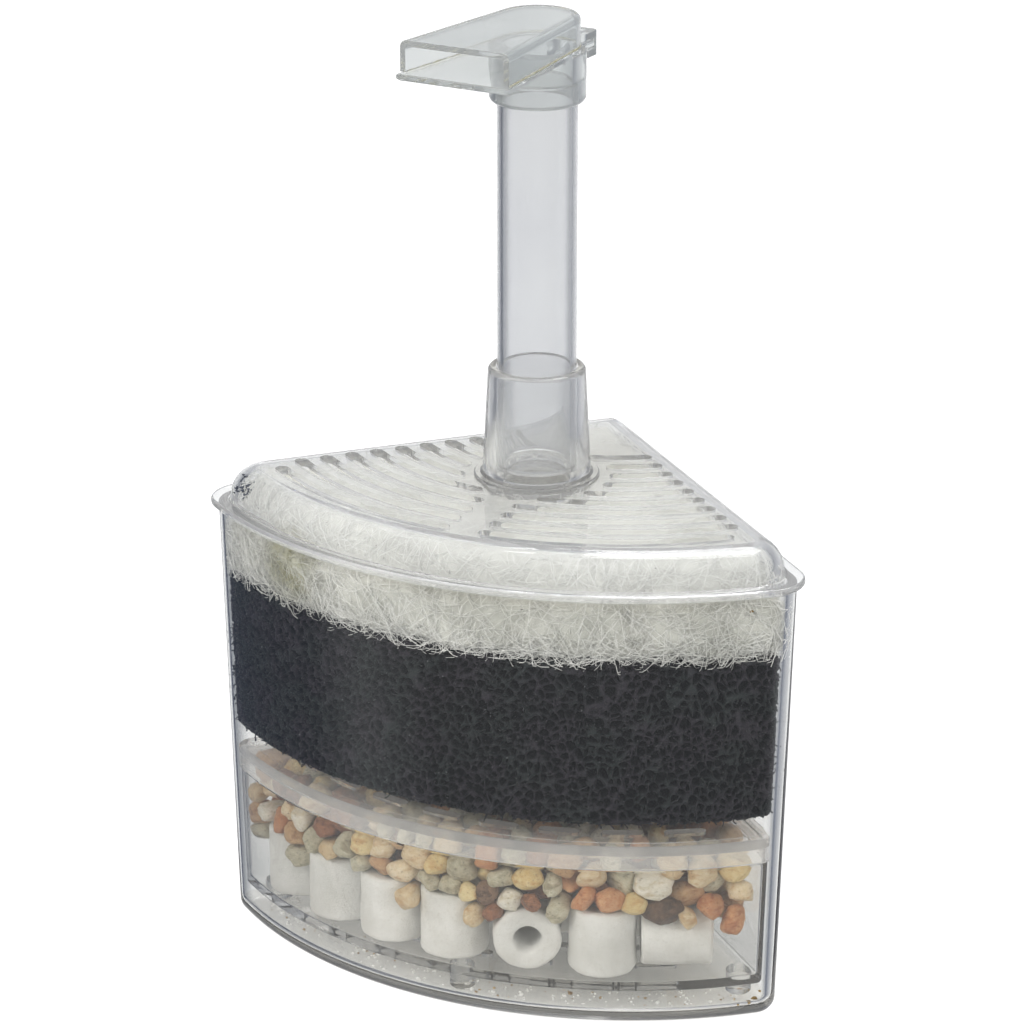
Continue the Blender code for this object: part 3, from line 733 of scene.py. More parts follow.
def lid_slots():
    plans = []
    for row in range(SLOT_ROWS):
        radius = SLOT_FRONT_RADIUS - row * SLOT_PITCH
        edge = SLOT_EDGE + (FRONT_SLOT_CUT_BACK if row == 0 else 0.0)
        end = -EIGHTH_TURN - math.asin(edge / radius)
        start = -HALF_TURN + math.asin(RIB_HALF / radius)
        # The inner rows stop short of the step round the socket.
        clear = RING_STEP_RADIUS + 2.0 * MM
        across = (radius ** 2 + SLOT_CENTRE_Y ** 2 - clear ** 2) / (2 * radius * SLOT_CENTRE_Y)
        if across < 1:
            start = max(start, -HALF_TURN + math.acos(across))
        if (end - start) * radius < SLOT_WIDTH * 1.5:
            continue
        plan = slot_plan(radius, start, end)
        plans += [plan, plan[::-1] * np.array([-1, 1])]
    return prisms("lid_slots", plans, LID_TOP - 4 * MM, LID_TOP + 2 * MM)


def make_lid():
    inner_inset = DOME_INSET + DOME_WALL
    sections = top_edge(dome_outline, inner_inset, LID_TOP - LID_PLATE, DOME_ROUND - DOME_WALL, 8)[::-1]
    sections += [(dome_outline(inner_inset), SKIRT_LOW), (outline(SKIRT_INSET), SKIRT_LOW),
                 (outline(SKIRT_INSET), FLANGE_Z)]
    sections += bottom_edge(outline, -FLANGE_LIP, FLANGE_Z, FLANGE_EDGE, 4)
    flange_top = FLANGE_Z + FLANGE_THICK
    sections += top_edge(outline, -FLANGE_LIP, flange_top, FLANGE_EDGE, 4)
    for inward, _ in rounded(DOME_FOOT, 4):
        fall = math.sqrt(max(0.0, DOME_FOOT ** 2 - inward ** 2))
        sections.append((dome_outline(DOME_INSET - DOME_FOOT + inward), flange_top + DOME_FOOT - fall))
    sections += top_edge(dome_outline, DOME_INSET, LID_TOP, DOME_ROUND, 10)
    lid = loft("lid_shell", sections, lid_plastic)

    step_top, mid_plate = LID_TOP + RING_STEP_HEIGHT, LID_TOP - LID_PLATE / 2
    boss = [(0.0, SOCKET_TOP)]
    boss += top_edge(lambda inset: SOCKET_TOP_RADIUS - inset, 0.0, SOCKET_TOP, SOCKET_RIM, 5)[::-1]
    boss += [
        (SOCKET_BASE_RADIUS, step_top + 0.5 * MM), (SOCKET_BASE_RADIUS + 0.5 * MM, step_top),
        (RING_STEP_RADIUS - 0.3 * MM, step_top), (RING_STEP_RADIUS, step_top - 0.3 * MM),
        (RING_STEP_RADIUS, mid_plate), (SPIGOT_RADIUS, mid_plate), (SPIGOT_RADIUS, SPIGOT_BOTTOM),
        (0.0, SPIGOT_BOTTOM)]
    ledge = riser_low.z - GAP
    bore = [
        (0.0, SOCKET_TOP + MM), (TUBE_SOCKET_BORE, SOCKET_TOP + MM), (TUBE_SOCKET_BORE, ledge),
        (TUBE_BORE, ledge), (TUBE_BORE, ledge - LEDGE_THICK), (TUBE_SOCKET_BORE, ledge - LEDGE_THICK),
        (TUBE_SOCKET_BORE, SPIGOT_BOTTOM - MM), (0.0, SPIGOT_BOTTOM - MM)]
    combine(lid, (turned("boss", boss), "UNION"), (turned("bore", bore), "DIFFERENCE"),
            (lid_slots(), "DIFFERENCE"))
    soften(lid, 0.28 * MM)
    # The socket is moulded from the same plastic, but lies over nothing that clouds it.
    second_look(lid, socket_plastic, lambda low, high: low > LID_TOP + MM)
    join_frame(lid, "lid", "lid")


# ---- tubes and spout


def make_tube(name, body, low, high, node):
    profile = [
        (TUBE_RADIUS - TUBE_LIP, high), (TUBE_RADIUS, high - TUBE_LIP), (TUBE_RADIUS, low + TUBE_LIP),
        (TUBE_RADIUS - TUBE_LIP, low), (TUBE_BORE + TUBE_LIP, low), (TUBE_BORE, low + TUBE_LIP),
        (TUBE_BORE, high - TUBE_LIP), (TUBE_BORE + TUBE_LIP, high)]
    join_frame(soften(turned(name, profile, tube_plastic, ring=True)), body, node)


def spout_plan(inset, reach):
    """Plan of the duct: a half-round back tangent to two flaring sides, cut off square at reach."""
    radius = SPOUT_BACK_RADIUS - inset
    span = math.hypot(SPOUT_REACH, SPOUT_HALF_MOUTH)
    tangent = math.atan2(-SPOUT_REACH, SPOUT_HALF_MOUTH) + math.acos(SPOUT_BACK_RADIUS / span)
    normal = np.array([math.cos(tangent), math.sin(tangent)])
    along = np.array([normal[1], -normal[0]])
    start = normal * radius
    front = start + along * ((reach + start[1]) / -along[1])
    back = arc(0, 0, radius, tangent, math.pi - tangent, 40)
    return np.vstack([back, [[-front[0], front[1]], [front[0], front[1]]]])


def turn_spout(obj):
    obj.data.transform(Matrix.Rotation(SPOUT_TURN, 4, "Z"))
    return obj


def make_spout_cover():
    low, high = cover_low.z, cover_high.z
    # The duct and its hollow run past the mouth, which one straight cut then opens.
    beyond = SPOUT_REACH + 8 * MM
    sections = [(spout_plan(0.0, beyond), low)]
    sections += top_edge(lambda inset: spout_plan(inset, beyond), 0.0, high, SPOUT_EDGE, 6)
    cover = loft("spout_cover_shell", sections, spout_plastic)

    def inside(inset):
        return spout_plan(inset, beyond + 4 * MM)

    hollow = [(inside(SPOUT_WALL), low - MM)]
    hollow += top_edge(inside, SPOUT_WALL, high - SPOUT_WALL, SPOUT_EDGE - 0.5 * MM, 4)
    wide, far = SPOUT_HALF_MOUTH * 2, -beyond - 8 * MM
    front = np.array([(-wide, far), (wide, far), (wide, -SPOUT_REACH), (-wide, -SPOUT_REACH)])
    combine(cover, (loft("hollow", hollow), "DIFFERENCE"),
            (prisms("mouth", [front], low - 2 * MM, high + 2 * MM), "DIFFERENCE"))
    soften(turn_spout(cover), 0.15 * MM, 50)
    join_frame(cover, "spout", "spout_cover")


def make_spout_base():
    reach, outer = SPOUT_REACH + SPOUT_LIP, -SPOUT_LIP / 2
    plate = loft("spout_base_shell", [
        (spout_plan(0.3 * MM, reach - 0.3 * MM), SPOUT_FLOOR),
        (spout_plan(outer, reach), SPOUT_FLOOR + 0.4 * MM),
        (spout_plan(outer, reach), SPOUT_SEAM - 0.2 * MM),
        (spout_plan(outer + 0.2 * MM, reach - 0.2 * MM), SPOUT_SEAM)], spout_plastic)
    bottom = base_low.z
    collar = [(0.0, SPOUT_FLOOR + 0.7 * MM), (COLLAR_RADIUS - 0.3 * MM, SPOUT_FLOOR + 0.7 * MM),
              (COLLAR_RADIUS, SPOUT_FLOOR + 0.4 * MM), (COLLAR_RADIUS, bottom + COLLAR_ROUND)]
    collar += [(COLLAR_RADIUS - COLLAR_ROUND * (1 - math.cos(a)), bottom + COLLAR_ROUND * (1 - math.sin(a)))
               for a in np.linspace(0.2, HALF_TURN, 6)]
    collar.append((0.0, bottom))
    nose, shoulder = LUG_HALF - MM, LUG_REACH - MM
    lug = np.vstack([[[LUG_HALF, LUG_START]], arc(nose, shoulder, MM, 0, HALF_TURN, 4),
                     arc(-nose, shoulder, MM, HALF_TURN, math.pi, 4), [[-LUG_HALF, LUG_START]]])
    ledge = riser_high.z + GAP
    bore = [(0.0, SPOUT_SEAM + MM), (TUBE_BORE, SPOUT_SEAM + MM), (TUBE_BORE, ledge),
            (TUBE_SOCKET_BORE, ledge), (TUBE_SOCKET_BORE, bottom - MM), (0.0, bottom - MM)]
    air_hole = cylinder("air_hole", AIR_HOLE_RADIUS, 0.0, LUG_REACH, 24)
    place = Matrix.Translation((0.0, 2 * MM, SPOUT_FLOOR - LUG_DROP / 2))
    air_hole.data.transform(place @ Matrix.Rotation(-HALF_TURN, 4, "X"))
    combine(plate, (turned("collar", collar), "UNION"),
            (prisms("lug", [lug], SPOUT_FLOOR - LUG_DROP, SPOUT_SEAM - 0.01 * MM), "UNION"),
            (turned("bore", bore), "DIFFERENCE"), (air_hole, "DIFFERENCE"))
    soften(turn_spout(plate), 0.18 * MM)
    join_frame(plate, "spout", "spout_base")


def make_glue_bead():
    """Glue squeezed out along the joint between the spout's two halves."""
    rng = random.Random(7)
    plan = spout_plan(0.15 * MM, SPOUT_REACH - MM)
    ring = np.vstack([plan[-1:], plan[:-1]])
    path = []
    for a, b in zip(ring, ring[1:]):
        steps = max(1, int(np.linalg.norm(b - a) / (0.8 * MM)))
        path += [(*(a + (b - a) * i / steps), SPOUT_SEAM + 0.15 * MM) for i in range(steps)]
    lumps = [noise.noise(Vector((i * 0.35, 3.0, 0.0))) for i in range(len(path))]
    radii = [(0.22 + 0.16 * lump + 0.05 * rng.random()) * MM for lump in lumps]
    join_frame(turn_spout(strand_mesh("glue_bead", [path], [radii], 8, glue_look())), "spout")


# ---- tray and its cover


def grille(name, rows, low, high):
    """Rows of short round-ended slots along arcs about the box's back corner, clear of the tube."""
    length, width = GRILLE_SLOT
    radius, pitch, edge = rows
    step = length + GRILLE_BAR
    plans = []
    while radius > GRILLE_CORE:
        span = EIGHTH_TURN - math.asin(edge / radius)
        count = int(2 * span * radius / step)
        for i in range(count):
            angle = -HALF_TURN + (i - (count - 1) / 2) * step / radius
            out = np.array([math.cos(angle), math.sin(angle)])
            side = np.array([-out[1], out[0]])
            middle = np.array([0, CORNER_Y]) + out * radius
            if np.linalg.norm(middle) < TUBE_RADIUS + 7.5 * MM:
                continue
            plan = []
            for way in (1, -1):
                for a in np.linspace(-HALF_TURN, HALF_TURN, 5):
                    along = side * (length / 2 - width / 2 + math.cos(a) * width / 2)
                    plan.append(middle + way * (along + out * math.sin(a) * width / 2))
            plans.append(np.array(plan))
        radius -= pitch
    return prisms(name, plans, low, high)


def make_tray():
    step, top, floor = tray_inset(TRAY_STEP_Z), tray_high.z, tray_inset(TRAY_FLOOR) + TRAY_WALL
    sections = bottom_edge(outline, tray_inset(TRAY_BASE), TRAY_BASE, TRAY_ROUND, 4)
    sections += [(outline(inset), z) for inset, z in (
        (step, TRAY_STEP_Z - TRAY_LIP), (step + TRAY_LIP, TRAY_STEP_Z), (step + TRAY_STEP, TRAY_STEP_Z),
        (tray_inset(top) + TRAY_STEP, top - TRAY_LIP), (tray_inset(top) + TRAY_STEP + TRAY_LIP, top),
        (tray_inset(top) + TRAY_WALL, top), (floor, TRAY_FLOOR + TRAY_ROUND),
        (floor + 0.25 * MM, TRAY_FLOOR + 0.25 * MM), (floor + TRAY_ROUND, TRAY_FLOOR))]
    tray = loft("tray_shell", sections, tray_plastic)
    low, joined = tray_low.z, TRAY_BASE + 0.7 * MM
    steps = []
    for number, (across, along) in enumerate(TRAY_FEET):
        foot = turned(f"foot_{number}", [
            (0.0, joined), (TRAY_FOOT_RADIUS, joined), (TRAY_FOOT_RADIUS, low + 0.5 * MM),
            (TRAY_FOOT_RADIUS - 0.5 * MM, low), (0.0, low)], steps=32)
        foot.data.transform(Matrix.Translation((across * MM, along * MM, 0.0)))
        steps.append((foot, "UNION"))
    steps.append((cylinder("tray_hole", TUBE_RADIUS + GAP, 0.0, 12 * MM), "DIFFERENCE"))
    steps.append((grille("tray_grille", TRAY_GRILLE, TRAY_BASE - MM, TRAY_FLOOR + MM), "DIFFERENCE"))
    join_frame(soften(combine(tray, *steps)), "tray", "tray")


def make_tray_cover():
    low, top = lattice_low.z, lattice_high.z
    inner = tray_inset(low) + TRAY_STEP - GAP
    outer = inner - COVER_SKIRT
    under = top - COVER_RECESS - COVER_PLATE
    sections = [(outline(inner), under), (outline(inner), low), (outline(outer), low)]
    sections += top_edge(outline, outer, top, COVER_ROUND, 5)
    sections += [(outline(outer + COVER_RIM - 0.3 * MM), top), (outline(outer + COVER_RIM), top - 0.2 * MM),
                 (outline(outer + COVER_RIM + 0.2 * MM), top - COVER_RECESS)]
    cover = loft("tray_cover_plate", sections, cover_plastic)
    combine(cover, (cylinder("cover_hole", TUBE_RADIUS + GAP, under - MM, top + MM), "DIFFERENCE"),
            (grille("cover_grille", COVER_GRILLE, under - MM, top + MM), "DIFFERENCE"))
    join_frame(soften(cover), "tray_cover", "tray_cover")


# ---- foam and floss


def media_block(name, sections, hole, voxel, look):
    """A solid of even small faces, ready to be displaced."""
    block = loft(name, sections, look)
    low, high = sections[0][1] - 5 * MM, sections[-1][1] + 5 * MM
    combine(block, (cylinder("media_hole", hole, low, high, 48), "DIFFERENCE"))
    remesh = block.modifiers.new("even_faces", "REMESH")
    remesh.mode = "VOXEL"
    remesh.voxel_size = voxel
    apply_modifiers(block)
    if not block.data.materials:
        block.data.materials.append(look)
    return block


def make_foam():
    low, high = foam_low.z, foam_high.z
    at_low, at_high = box_inset(low) + FOAM_EDGE, box_inset(high) + FOAM_EDGE
    sections = [(outline(at_low + 0.8 * MM), low), (outline(at_low), low + MM),
                (outline(at_high), high - MM), (outline(at_high + 0.8 * MM), high)]
    voxel = 0.33 * MM
    foam = media_block("foam_block", sections, TUBE_RADIUS + GAP, voxel, foam_black)
    points, normals = points_of(foam.data)
    # Cells are pits; the struts between them lie where the two nearest cell centres are equally far.
    nearest = np.array([noise.voronoi(Vector(p) / FOAM_CELL)[0][:2] for p in points])
    deep = np.clip((nearest[:, 1] - nearest[:, 0] - 0.05) / 0.24, 0, 1)
    deep = deep * deep * (3 - 2 * deep)
    points -= normals * (deep * FOAM_PIT)[:, None]
    set_points(foam.data, points)
    # The pit depth is stored too, as the mask for the painted shade in the pits.
    store(foam.data, "pit_shade", deep)
    join_frame(foam, "sponge", "sponge_block")
    make_foam_struts(points, normals, np.flatnonzero(deep < 0.2), low, high)


def make_foam_struts(points, normals, on_strut, low, high):
    """Cut struts that stand proud of the foam's faces and edges."""
    rng = np.random.default_rng(11)
    struts, widths = [], []
    for i in rng.choice(on_strut, min(len(on_strut), FOAM_STRUTS), replace=False):
        start = points[i] - normals[i] * 0.3 * MM
        heading = normals[i] * 0.6 + rng.normal(size=3) * 0.9
        heading /= np.linalg.norm(heading)
        length = rng.uniform(0.7, 1.9) * MM
        bend = rng.normal(size=3) * 0.25
        line = np.array([start + heading * length * t + bend * length * t * t for t in (0, 0.35, 0.7, 1.0)])
        line = push_inside(line, box_inner(line[:, 2]) + 0.12 * MM)
        line[:, 2] = np.clip(line[:, 2], low - 0.9 * MM, high + 0.25 * MM)
        struts.append(line)
        thick = rng.uniform(0.09, 0.16) * MM
        widths.append([thick * 1.3, thick, thick, thick * 1.2])
    whiskers = strand_mesh("foam_struts", struts, widths, 4, foam_black)
    store(whiskers.data, "pit_shade", np.zeros(len(whiskers.data.vertices)))
    join_frame(whiskers, "sponge")


def make_floss():
    low, high = floss_low.z, floss_high.z
    low_edge = box_inner(low) + 0.4 * MM
    dome_edge = DOME_INSET + DOME_WALL + 0.4 * MM
    sections = [
        (outline(low_edge + MM), low), (outline(low_edge), low + 1.5 * MM),
        (outline(BOX_WALL + 0.5 * MM), SKIRT_LOW - 2 * MM), (dome_outline(dome_edge), SKIRT_LOW - 0.5 * MM),
        (dome_outline(dome_edge), high - FLOSS_CHAMFER), (dome_outline(dome_edge + FLOSS_CHAMFER), high)]
    look = floss_look("white_floss", (178, 179, 172), (206, 207, 201))
    voxel = 0.8 * MM
    floss = media_block("floss_batt", sections, SPIGOT_RADIUS + 0.5 * MM, voxel, look)
    rest, normals = points_of(floss.data)
    soft = np.array([noise.fractal(Vector(p) * 90, 1.0, 2.0, 3) for p in rest])
    fine = np.array([noise.noise(Vector(p) * 520) for p in rest])
    points = rest - normals * ((0.9 + 0.9 * soft + 0.35 * fine) * MM)[:, None]
    set_points(floss.data, points)
    join_frame(floss, "floss", "floss_pad")
    make_floss_fibres(rest, points, normals, low, high)


def make_floss_fibres(rest, points, normals, low, high):
    """Single fibres over the batt, densest in the fringe that hangs over the foam."""
    rng = np.random.default_rng(23)
    fringe = rest[:, 2] < low + 5 * MM
    weight = np.where(rest[:, 1] < 10 * MM, 1.6, 1.0) * np.where(fringe, 3.4, 1.0)
    weight = weight * np.where(rest[:, 2] > high - 2 * MM, 0.14, 1.0)
    count = FLOSS_FIBRES
    steps = 7
    keep_out = SPIGOT_RADIUS + 0.4 * MM
    paths, widths = [], []
    for i in rng.choice(len(rest), count, p=weight / weight.sum()):
        normal = normals[i]
        heading = rng.normal(size=3)
        heading -= normal * (heading @ normal) * 0.85
        heading /= np.linalg.norm(heading)
        length = rng.uniform(3.5, 10 if fringe[i] else 16) * MM
        curl = rng.normal(size=3) * 0.35
        at = points[i] + normal * rng.uniform(-0.2, 0.7) * MM
        line = []
        for _ in range(steps):
            line.append(at.copy())
            heading = heading + curl / steps * 1.6 + rng.normal(size=3) * 0.12 - normal * 0.05
            heading /= np.linalg.norm(heading)
            at = at + heading * length / steps
        line = np.array(line)
        line[:, 2] = np.clip(line[:, 2], low - rng.triangular(0.0, 0.2, 2.4) * MM, high - 0.1 * MM)
        line = push_inside(line, box_inner(line[:, 2]) + 0.15 * MM)
        in_dome = DOME_INSET + DOME_WALL + 0.15 * MM + np.maximum(line[:, 2] - (high - 3.2 * MM), 0) * 0.9
        above_skirt = line[:, 2] > SKIRT_LOW - 0.6 * MM
        line = push_inside(line, np.where(above_skirt, in_dome, 0), DOME_FRONT_ROUND)
        out = np.hypot(line[:, 0], line[:, 1])
        near = out < keep_out
        line[near, :2] *= (keep_out / np.maximum(out[near], 1e-6))[:, None]
        paths.append(line)
        widths.append([rng.uniform(0.04, 0.085) * MM] * steps)
    look = floss_look("floss_fibre", (210, 211, 206), (232, 233, 230))
    join_frame(strand_mesh("floss_fibres", paths, widths, 3, look), "floss")


# ---- ceramic rings and pebbles


def ring_profile(radius, half):
    edge = RING_EDGE
    lip = 0.5 * MM
    profile = [(radius - i, half - edge + u) for i, u in reversed(rounded(edge, 5))]
    profile += [(radius, z) for z in np.linspace(half - edge, -half + edge, 8)[1:-1]]
    profile += [(radius - i, -half + edge - u) for i, u in rounded(edge, 5)]
    profile += [(RING_BORE + lip, -half), (RING_BORE, -half + lip)]
    profile += [(RING_BORE, z) for z in np.linspace(-half + lip, half - lip, 6)[1:-1]]
    return profile + [(RING_BORE, half - lip), (RING_BORE + lip, half)]


def make_rings():
    """Returns (centre, axis, radius, half length) of each ring, for the pebbles to rest against."""
    half = ring_high.z / 2 - ring_low.z / 2
    solids = []
    for number in range(1, 15):
        node = f"ceramic_ring_{number:02d}"
        low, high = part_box(node)
        centre = (low + high) / 2
        lying = LYING_RINGS.get(node)
        if lying is None:
            radius = (high.x - low.x) / 2
            axis = Vector((0.0, 0.0, 1.0))
            turn = Matrix.Rotation(number * 1.1, 4, "Z")
        else:
            radius = (high.z - low.z) / 2
            axis = Vector((math.cos(lying), math.sin(lying), 0.0))
            turn = axis.to_track_quat("Z", "Y").to_matrix().to_4x4()
        ring = turned(f"ring_{number:02d}", ring_profile(radius, half), ceramic, 64, ring=True)
        points, normals = points_of(ring.data)
        for i, p in enumerate(points):
            spot = Vector(p) + Vector((number * 0.1, 0, 0))
            dent = noise.fractal(spot * 160, 1.0, 2.0, 3) * 0.22 + noise.noise(spot * 700) * 0.09
            points[i] += normals[i] * (dent - 0.22) * MM
        set_points(ring.data, points)
        ring.data.transform(Matrix.Translation(centre) @ turn)
        join_frame(ring, "tray", node)
        solids.append((np.array(centre), np.array(axis), radius, half))
    return solids


def packed_spheres(rng, radii, solids):
    """Centres for spheres of these radii, settled in the tray between PEBBLE_REST and the gravel's top."""
    count = len(radii)
    floor = TRAY_FLOOR + PEBBLE_REST
    ceiling = gravel_high.z - 0.2 * MM
    at = np.empty((count, 3))
    made = 0
    while made < count:
        spot = np.array([rng.uniform(-58, 58) * MM, rng.uniform(-44, 42) * MM, rng.uniform(19, 34) * MM])
        if depth_inside(spot[None])[0] > 9 * MM:
            at[made] = spot
            made += 1
    for turn in range(320):
        # The spheres push one another apart.
        apart = at[:, None] - at[None]
        distance = np.linalg.norm(apart, axis=2) + np.eye(count)
        overlap = np.maximum(radii[:, None] + radii[None] - distance, 0) * (1 - np.eye(count))
        move = (apart / distance[..., None] * overlap[..., None]).sum(axis=1) * 0.32
        # The rings push them away.
        for centre, axis, radius, half in solids:
            off = at - centre
            along = off @ axis
            radial = off - along[:, None] * axis
            out = np.linalg.norm(radial, axis=1) + 1e-9
            over_side, over_end = out - radius, np.abs(along) - half
            gap = np.where((over_side > 0) & (over_end > 0), np.hypot(over_side, over_end),
                           np.maximum(over_side, over_end))
            need = np.maximum(radii * 0.93 - gap, 0)
            sideways = (over_side > over_end)[:, None]
            push = np.where(sideways, radial / out[:, None], np.sign(along)[:, None] * axis)
            move += push * need[:, None] * 0.6
        # The tube pushes them away too, and for the first turns they sink.
        tube = np.hypot(at[:, 0], at[:, 1]) + 1e-9
        need = np.maximum(TUBE_RADIUS + radii - tube, 0)
        move[:, :2] += at[:, :2] / tube[:, None] * need[:, None]
        if turn < 130:
            move[:, 2] -= 0.10 * MM
        at += move
        at = push_inside(at, tray_inset(at[:, 2]) + TRAY_WALL + radii * 0.97)
        at[:, 2] = np.clip(at[:, 2], floor + radii, ceiling - radii * 0.85)
    return at


def pebble_shape(rng, ball):
    """A water-worn stone: a ball with a few flattened sides, low lumps and uneven axes, turned at random."""
    shape = ball.copy()
    for _ in range(8):
        flat = rng.normal(size=3)
        flat /= np.linalg.norm(flat)
        over = np.maximum(shape @ flat - rng.uniform(0.6, 0.85), 0)
        shape -= flat * (over * 0.8)[:, None]
    offset = Vector(rng.uniform(-50, 50, 3))
    lumps = np.array([noise.fractal(Vector(p) * 1.1 + offset, 0.9, 2.1, 4) for p in shape])
    shape *= (1.0 + 0.16 * lumps)[:, None]
    shape *= np.array([rng.uniform(1.05, 1.4), rng.uniform(1.0, 1.2), rng.uniform(0.8, 1.0)])
    return shape @ np.array(Vector(rng.normal(size=3)).to_track_quat("Z", "Y").to_matrix()).T


def make_pebbles(solids):
    rng = np.random.default_rng(5)
    count = PEBBLES
    radii = rng.uniform(2.1, 3.3, count) * MM
    centres = packed_spheres(rng, radii, solids)
    ball, triangles = icosphere(3)
    share = np.array([kind[-1] for kind in PEBBLE_KINDS])
    points, faces, kinds, shades = [], [], [], []
    for number in range(count):
        shape = pebble_shape(rng, ball) * radii[number] + centres[number]
        shape = push_inside(shape, tray_inset(shape[:, 2]) + TRAY_WALL + 0.12 * MM)
        shape[:, 2] = np.clip(shape[:, 2], TRAY_FLOOR + 0.1 * MM, gravel_high.z + 0.2 * MM)
        faces.append(triangles + number * len(ball))
        points.append(shape)
        kinds += [int(rng.choice(len(PEBBLE_KINDS), p=share / share.sum()))] * len(triangles)
        shades += [rng.uniform(0, 1)] * len(ball)
    bed = add("pebbles", np.vstack(points), [tuple(f) for f in np.vstack(faces)])
    for kind in PEBBLE_KINDS:
        bed.data.materials.append(pebble_look(*kind[:-1]))
    bed.data.polygons.foreach_set("material_index", np.array(kinds, np.int32))
    store(bed.data, "shade", shades)
    bed.data.shade_smooth()
    join_frame(bed, "tray", "gravel_bed")


# ---- marks of use


def grains(name, spots, sizes, look, body, seed):
    """Small broken crumbs, each its own little lump."""
    rng = np.random.default_rng(seed)
    ball, triangles = icosphere(1)
    points, faces = [], []
    for number, (spot, size) in enumerate(zip(spots, sizes)):
        shape = ball * rng.uniform(0.6, 1.25, ball.shape) * np.array([1.0, 0.85, 0.6])
        turn = np.array(Matrix.Rotation(rng.uniform(0, math.pi), 3, "Z"))
        points.append(shape @ turn.T * size + spot)
        faces.append(triangles + number * len(ball))
    join_frame(add(name, np.vstack(points), [tuple(f) for f in np.vstack(faces)], look), body)


def make_crumbs():
    """Ceramic dust and grit under the tray."""
    rng = np.random.default_rng(31)
    white, total = 200, 260
    spots, sizes = [], []
    for _ in range(total):
        angle = rng.uniform(-0.68, 0.68)
        radius = BOX_RADIUS - box_inset(0) - rng.uniform(5.0, 13.0) * MM
        size = rng.choice([0.2, 0.3, 0.42, 0.6], p=[0.42, 0.32, 0.19, 0.07]) * MM
        spots.append((*on_front(angle, radius)[0], BOX_FLOOR + size * 0.5))
        sizes.append(size)
    grains("ceramic_crumbs", spots[:white], sizes[:white], ceramic, "tub", 3)
    grit = dirt_look("grit", (190, 170, 140), (128, 110, 88), 0.6)
    grains("grit_crumbs", spots[white:], sizes[white:], grit, "tub", 4)


def make_dried_dirt():
    """A dried drop under the rim, and dirt in the base's right corner."""
    spots = np.array([(57.0, -25.4, 88.6), (57.2, -20.6, 3.6), (56.4, -21.4, 2.9), (57.5, -19.4, 5.2),
                      (55.0, -23.4, 2.7)]) * MM
    sizes = np.array([0.55, 0.75, 0.6, 0.4, 0.35]) * MM
    spots = push_inside(spots, box_inner(spots[:, 2]) + sizes * 0.9)
    grains("dried_dirt", spots, sizes, dirt_look("dried_drop", (150, 124, 70), (104, 82, 44), 0.5), "tub", 8)


def make_lid_marks():
    """Specks along the dome's front, and a dark smudge in its left corner."""
    rng = np.random.default_rng(17)
    specks, smudges = 14, 60
    angle = np.concatenate([[-0.34, -0.275, 0.18], rng.uniform(-0.66, 0.66, specks)])
    height = np.concatenate([[94.6, 95.4, 98.2], rng.uniform(94.4, 99.0, specks)]) * MM
    spots = np.column_stack([on_front(angle, BOX_RADIUS - DOME_INSET - dome_slope(height)), height])
    black = dirt_look("dark_specks", (60, 58, 56), (26, 26, 28), 0.4)
    grains("lid_specks", spots, rng.uniform(0.08, 0.18, len(spots)) * MM, black, "lid", 9)

    corner = dome_outline(DOME_INSET)[2 * FILLET_STEPS + 1:2 * FILLET_STEPS + 5]
    at = corner[rng.integers(0, len(corner), smudges)] + rng.normal(0, 0.4, (smudges, 2)) * MM
    height = rng.triangular(95.4, 98.6, 100.2, smudges) * MM
    spots = push_inside(np.column_stack([at, height]), DOME_INSET + dome_slope(height), DOME_FRONT_ROUND)
    slate = dirt_look("corner_smudge", (74, 80, 92), (34, 38, 48), 0.4)
    grains("corner_smudge", spots, rng.uniform(0.12, 0.45, smudges) * MM, slate, "lid", 10)


# The stretches of the round front that hold dirt, as angles from its middle.
SEAM_DIRT_SPANS = ((0.30, 0.36), (0.37, 0.55), (0.56, 0.68), (-0.1, 0.02), (-0.40, -0.30), (-0.66, -0.58))


def make_seam_dirt():
    """Broken lines of dirt in the joint between the box's rim and the lid's flange."""
    rng = np.random.default_rng(41)
    steps = 24
    paths, widths = [], []
    for start, end in SEAM_DIRT_SPANS:
        reach = BOX_RADIUS - 0.25 * MM - rng.uniform(0, 0.12, steps) * MM
        plan = on_front(np.linspace(start, end, steps), reach)
        paths.append(np.column_stack([plan, np.full(steps, BOX_HEIGHT + 0.15 * MM)]))
        widths.append(list(rng.uniform(0.05, 0.13, steps) * MM))
    look = dirt_look("seam_dirt", (74, 70, 66), (30, 30, 32), 0.6)
    join_frame(strand_mesh("seam_dirt", paths, widths, 5, look), "tub")


# ---- build

make_box()
make_lid()
make_tube("riser_pipe", "riser", riser_low.z, riser_high.z, "riser_tube")
make_tube("down_pipe", "tray", down_low.z, down_high.z, "down_tube")
make_spout_cover()
make_spout_base()
make_glue_bead()
make_tray()
make_tray_cover()
make_foam()
make_floss()
make_pebbles(make_rings())
make_crumbs()
make_dried_dirt()
make_lid_marks()
make_seam_dirt()


# ---- studio

CLOTH, DUSK, SLATE, SHADE = (0.10, 0.11, 0.13), (0.28, 0.30, 0.34), (0.035, 0.05, 0.09), (0.10, 0.12, 0.17)
# The studio's dark parts: degrees to the right of the camera's heading, colour, how much of it.
DARK_PARTS = (
    (-180, CLOTH, 1.0), (-115, CLOTH, 1.0), (-94, (0.18, 0.20, 0.23), 0.9), (-78, SLATE, 1.0),
    (-40, SLATE, 1.0), (-26, DUSK, 0.85), (-14, DUSK, 0.5), (-9, DUSK, 0.0), (9, DUSK, 0.0),
    (16, DUSK, 0.45), (32, DUSK, 0.65), (58, SHADE, 0.95), (70, SHADE, 0.95), (88, DUSK, 0.65),
    (115, CLOTH, 1.0), (180, CLOTH, 1.0))


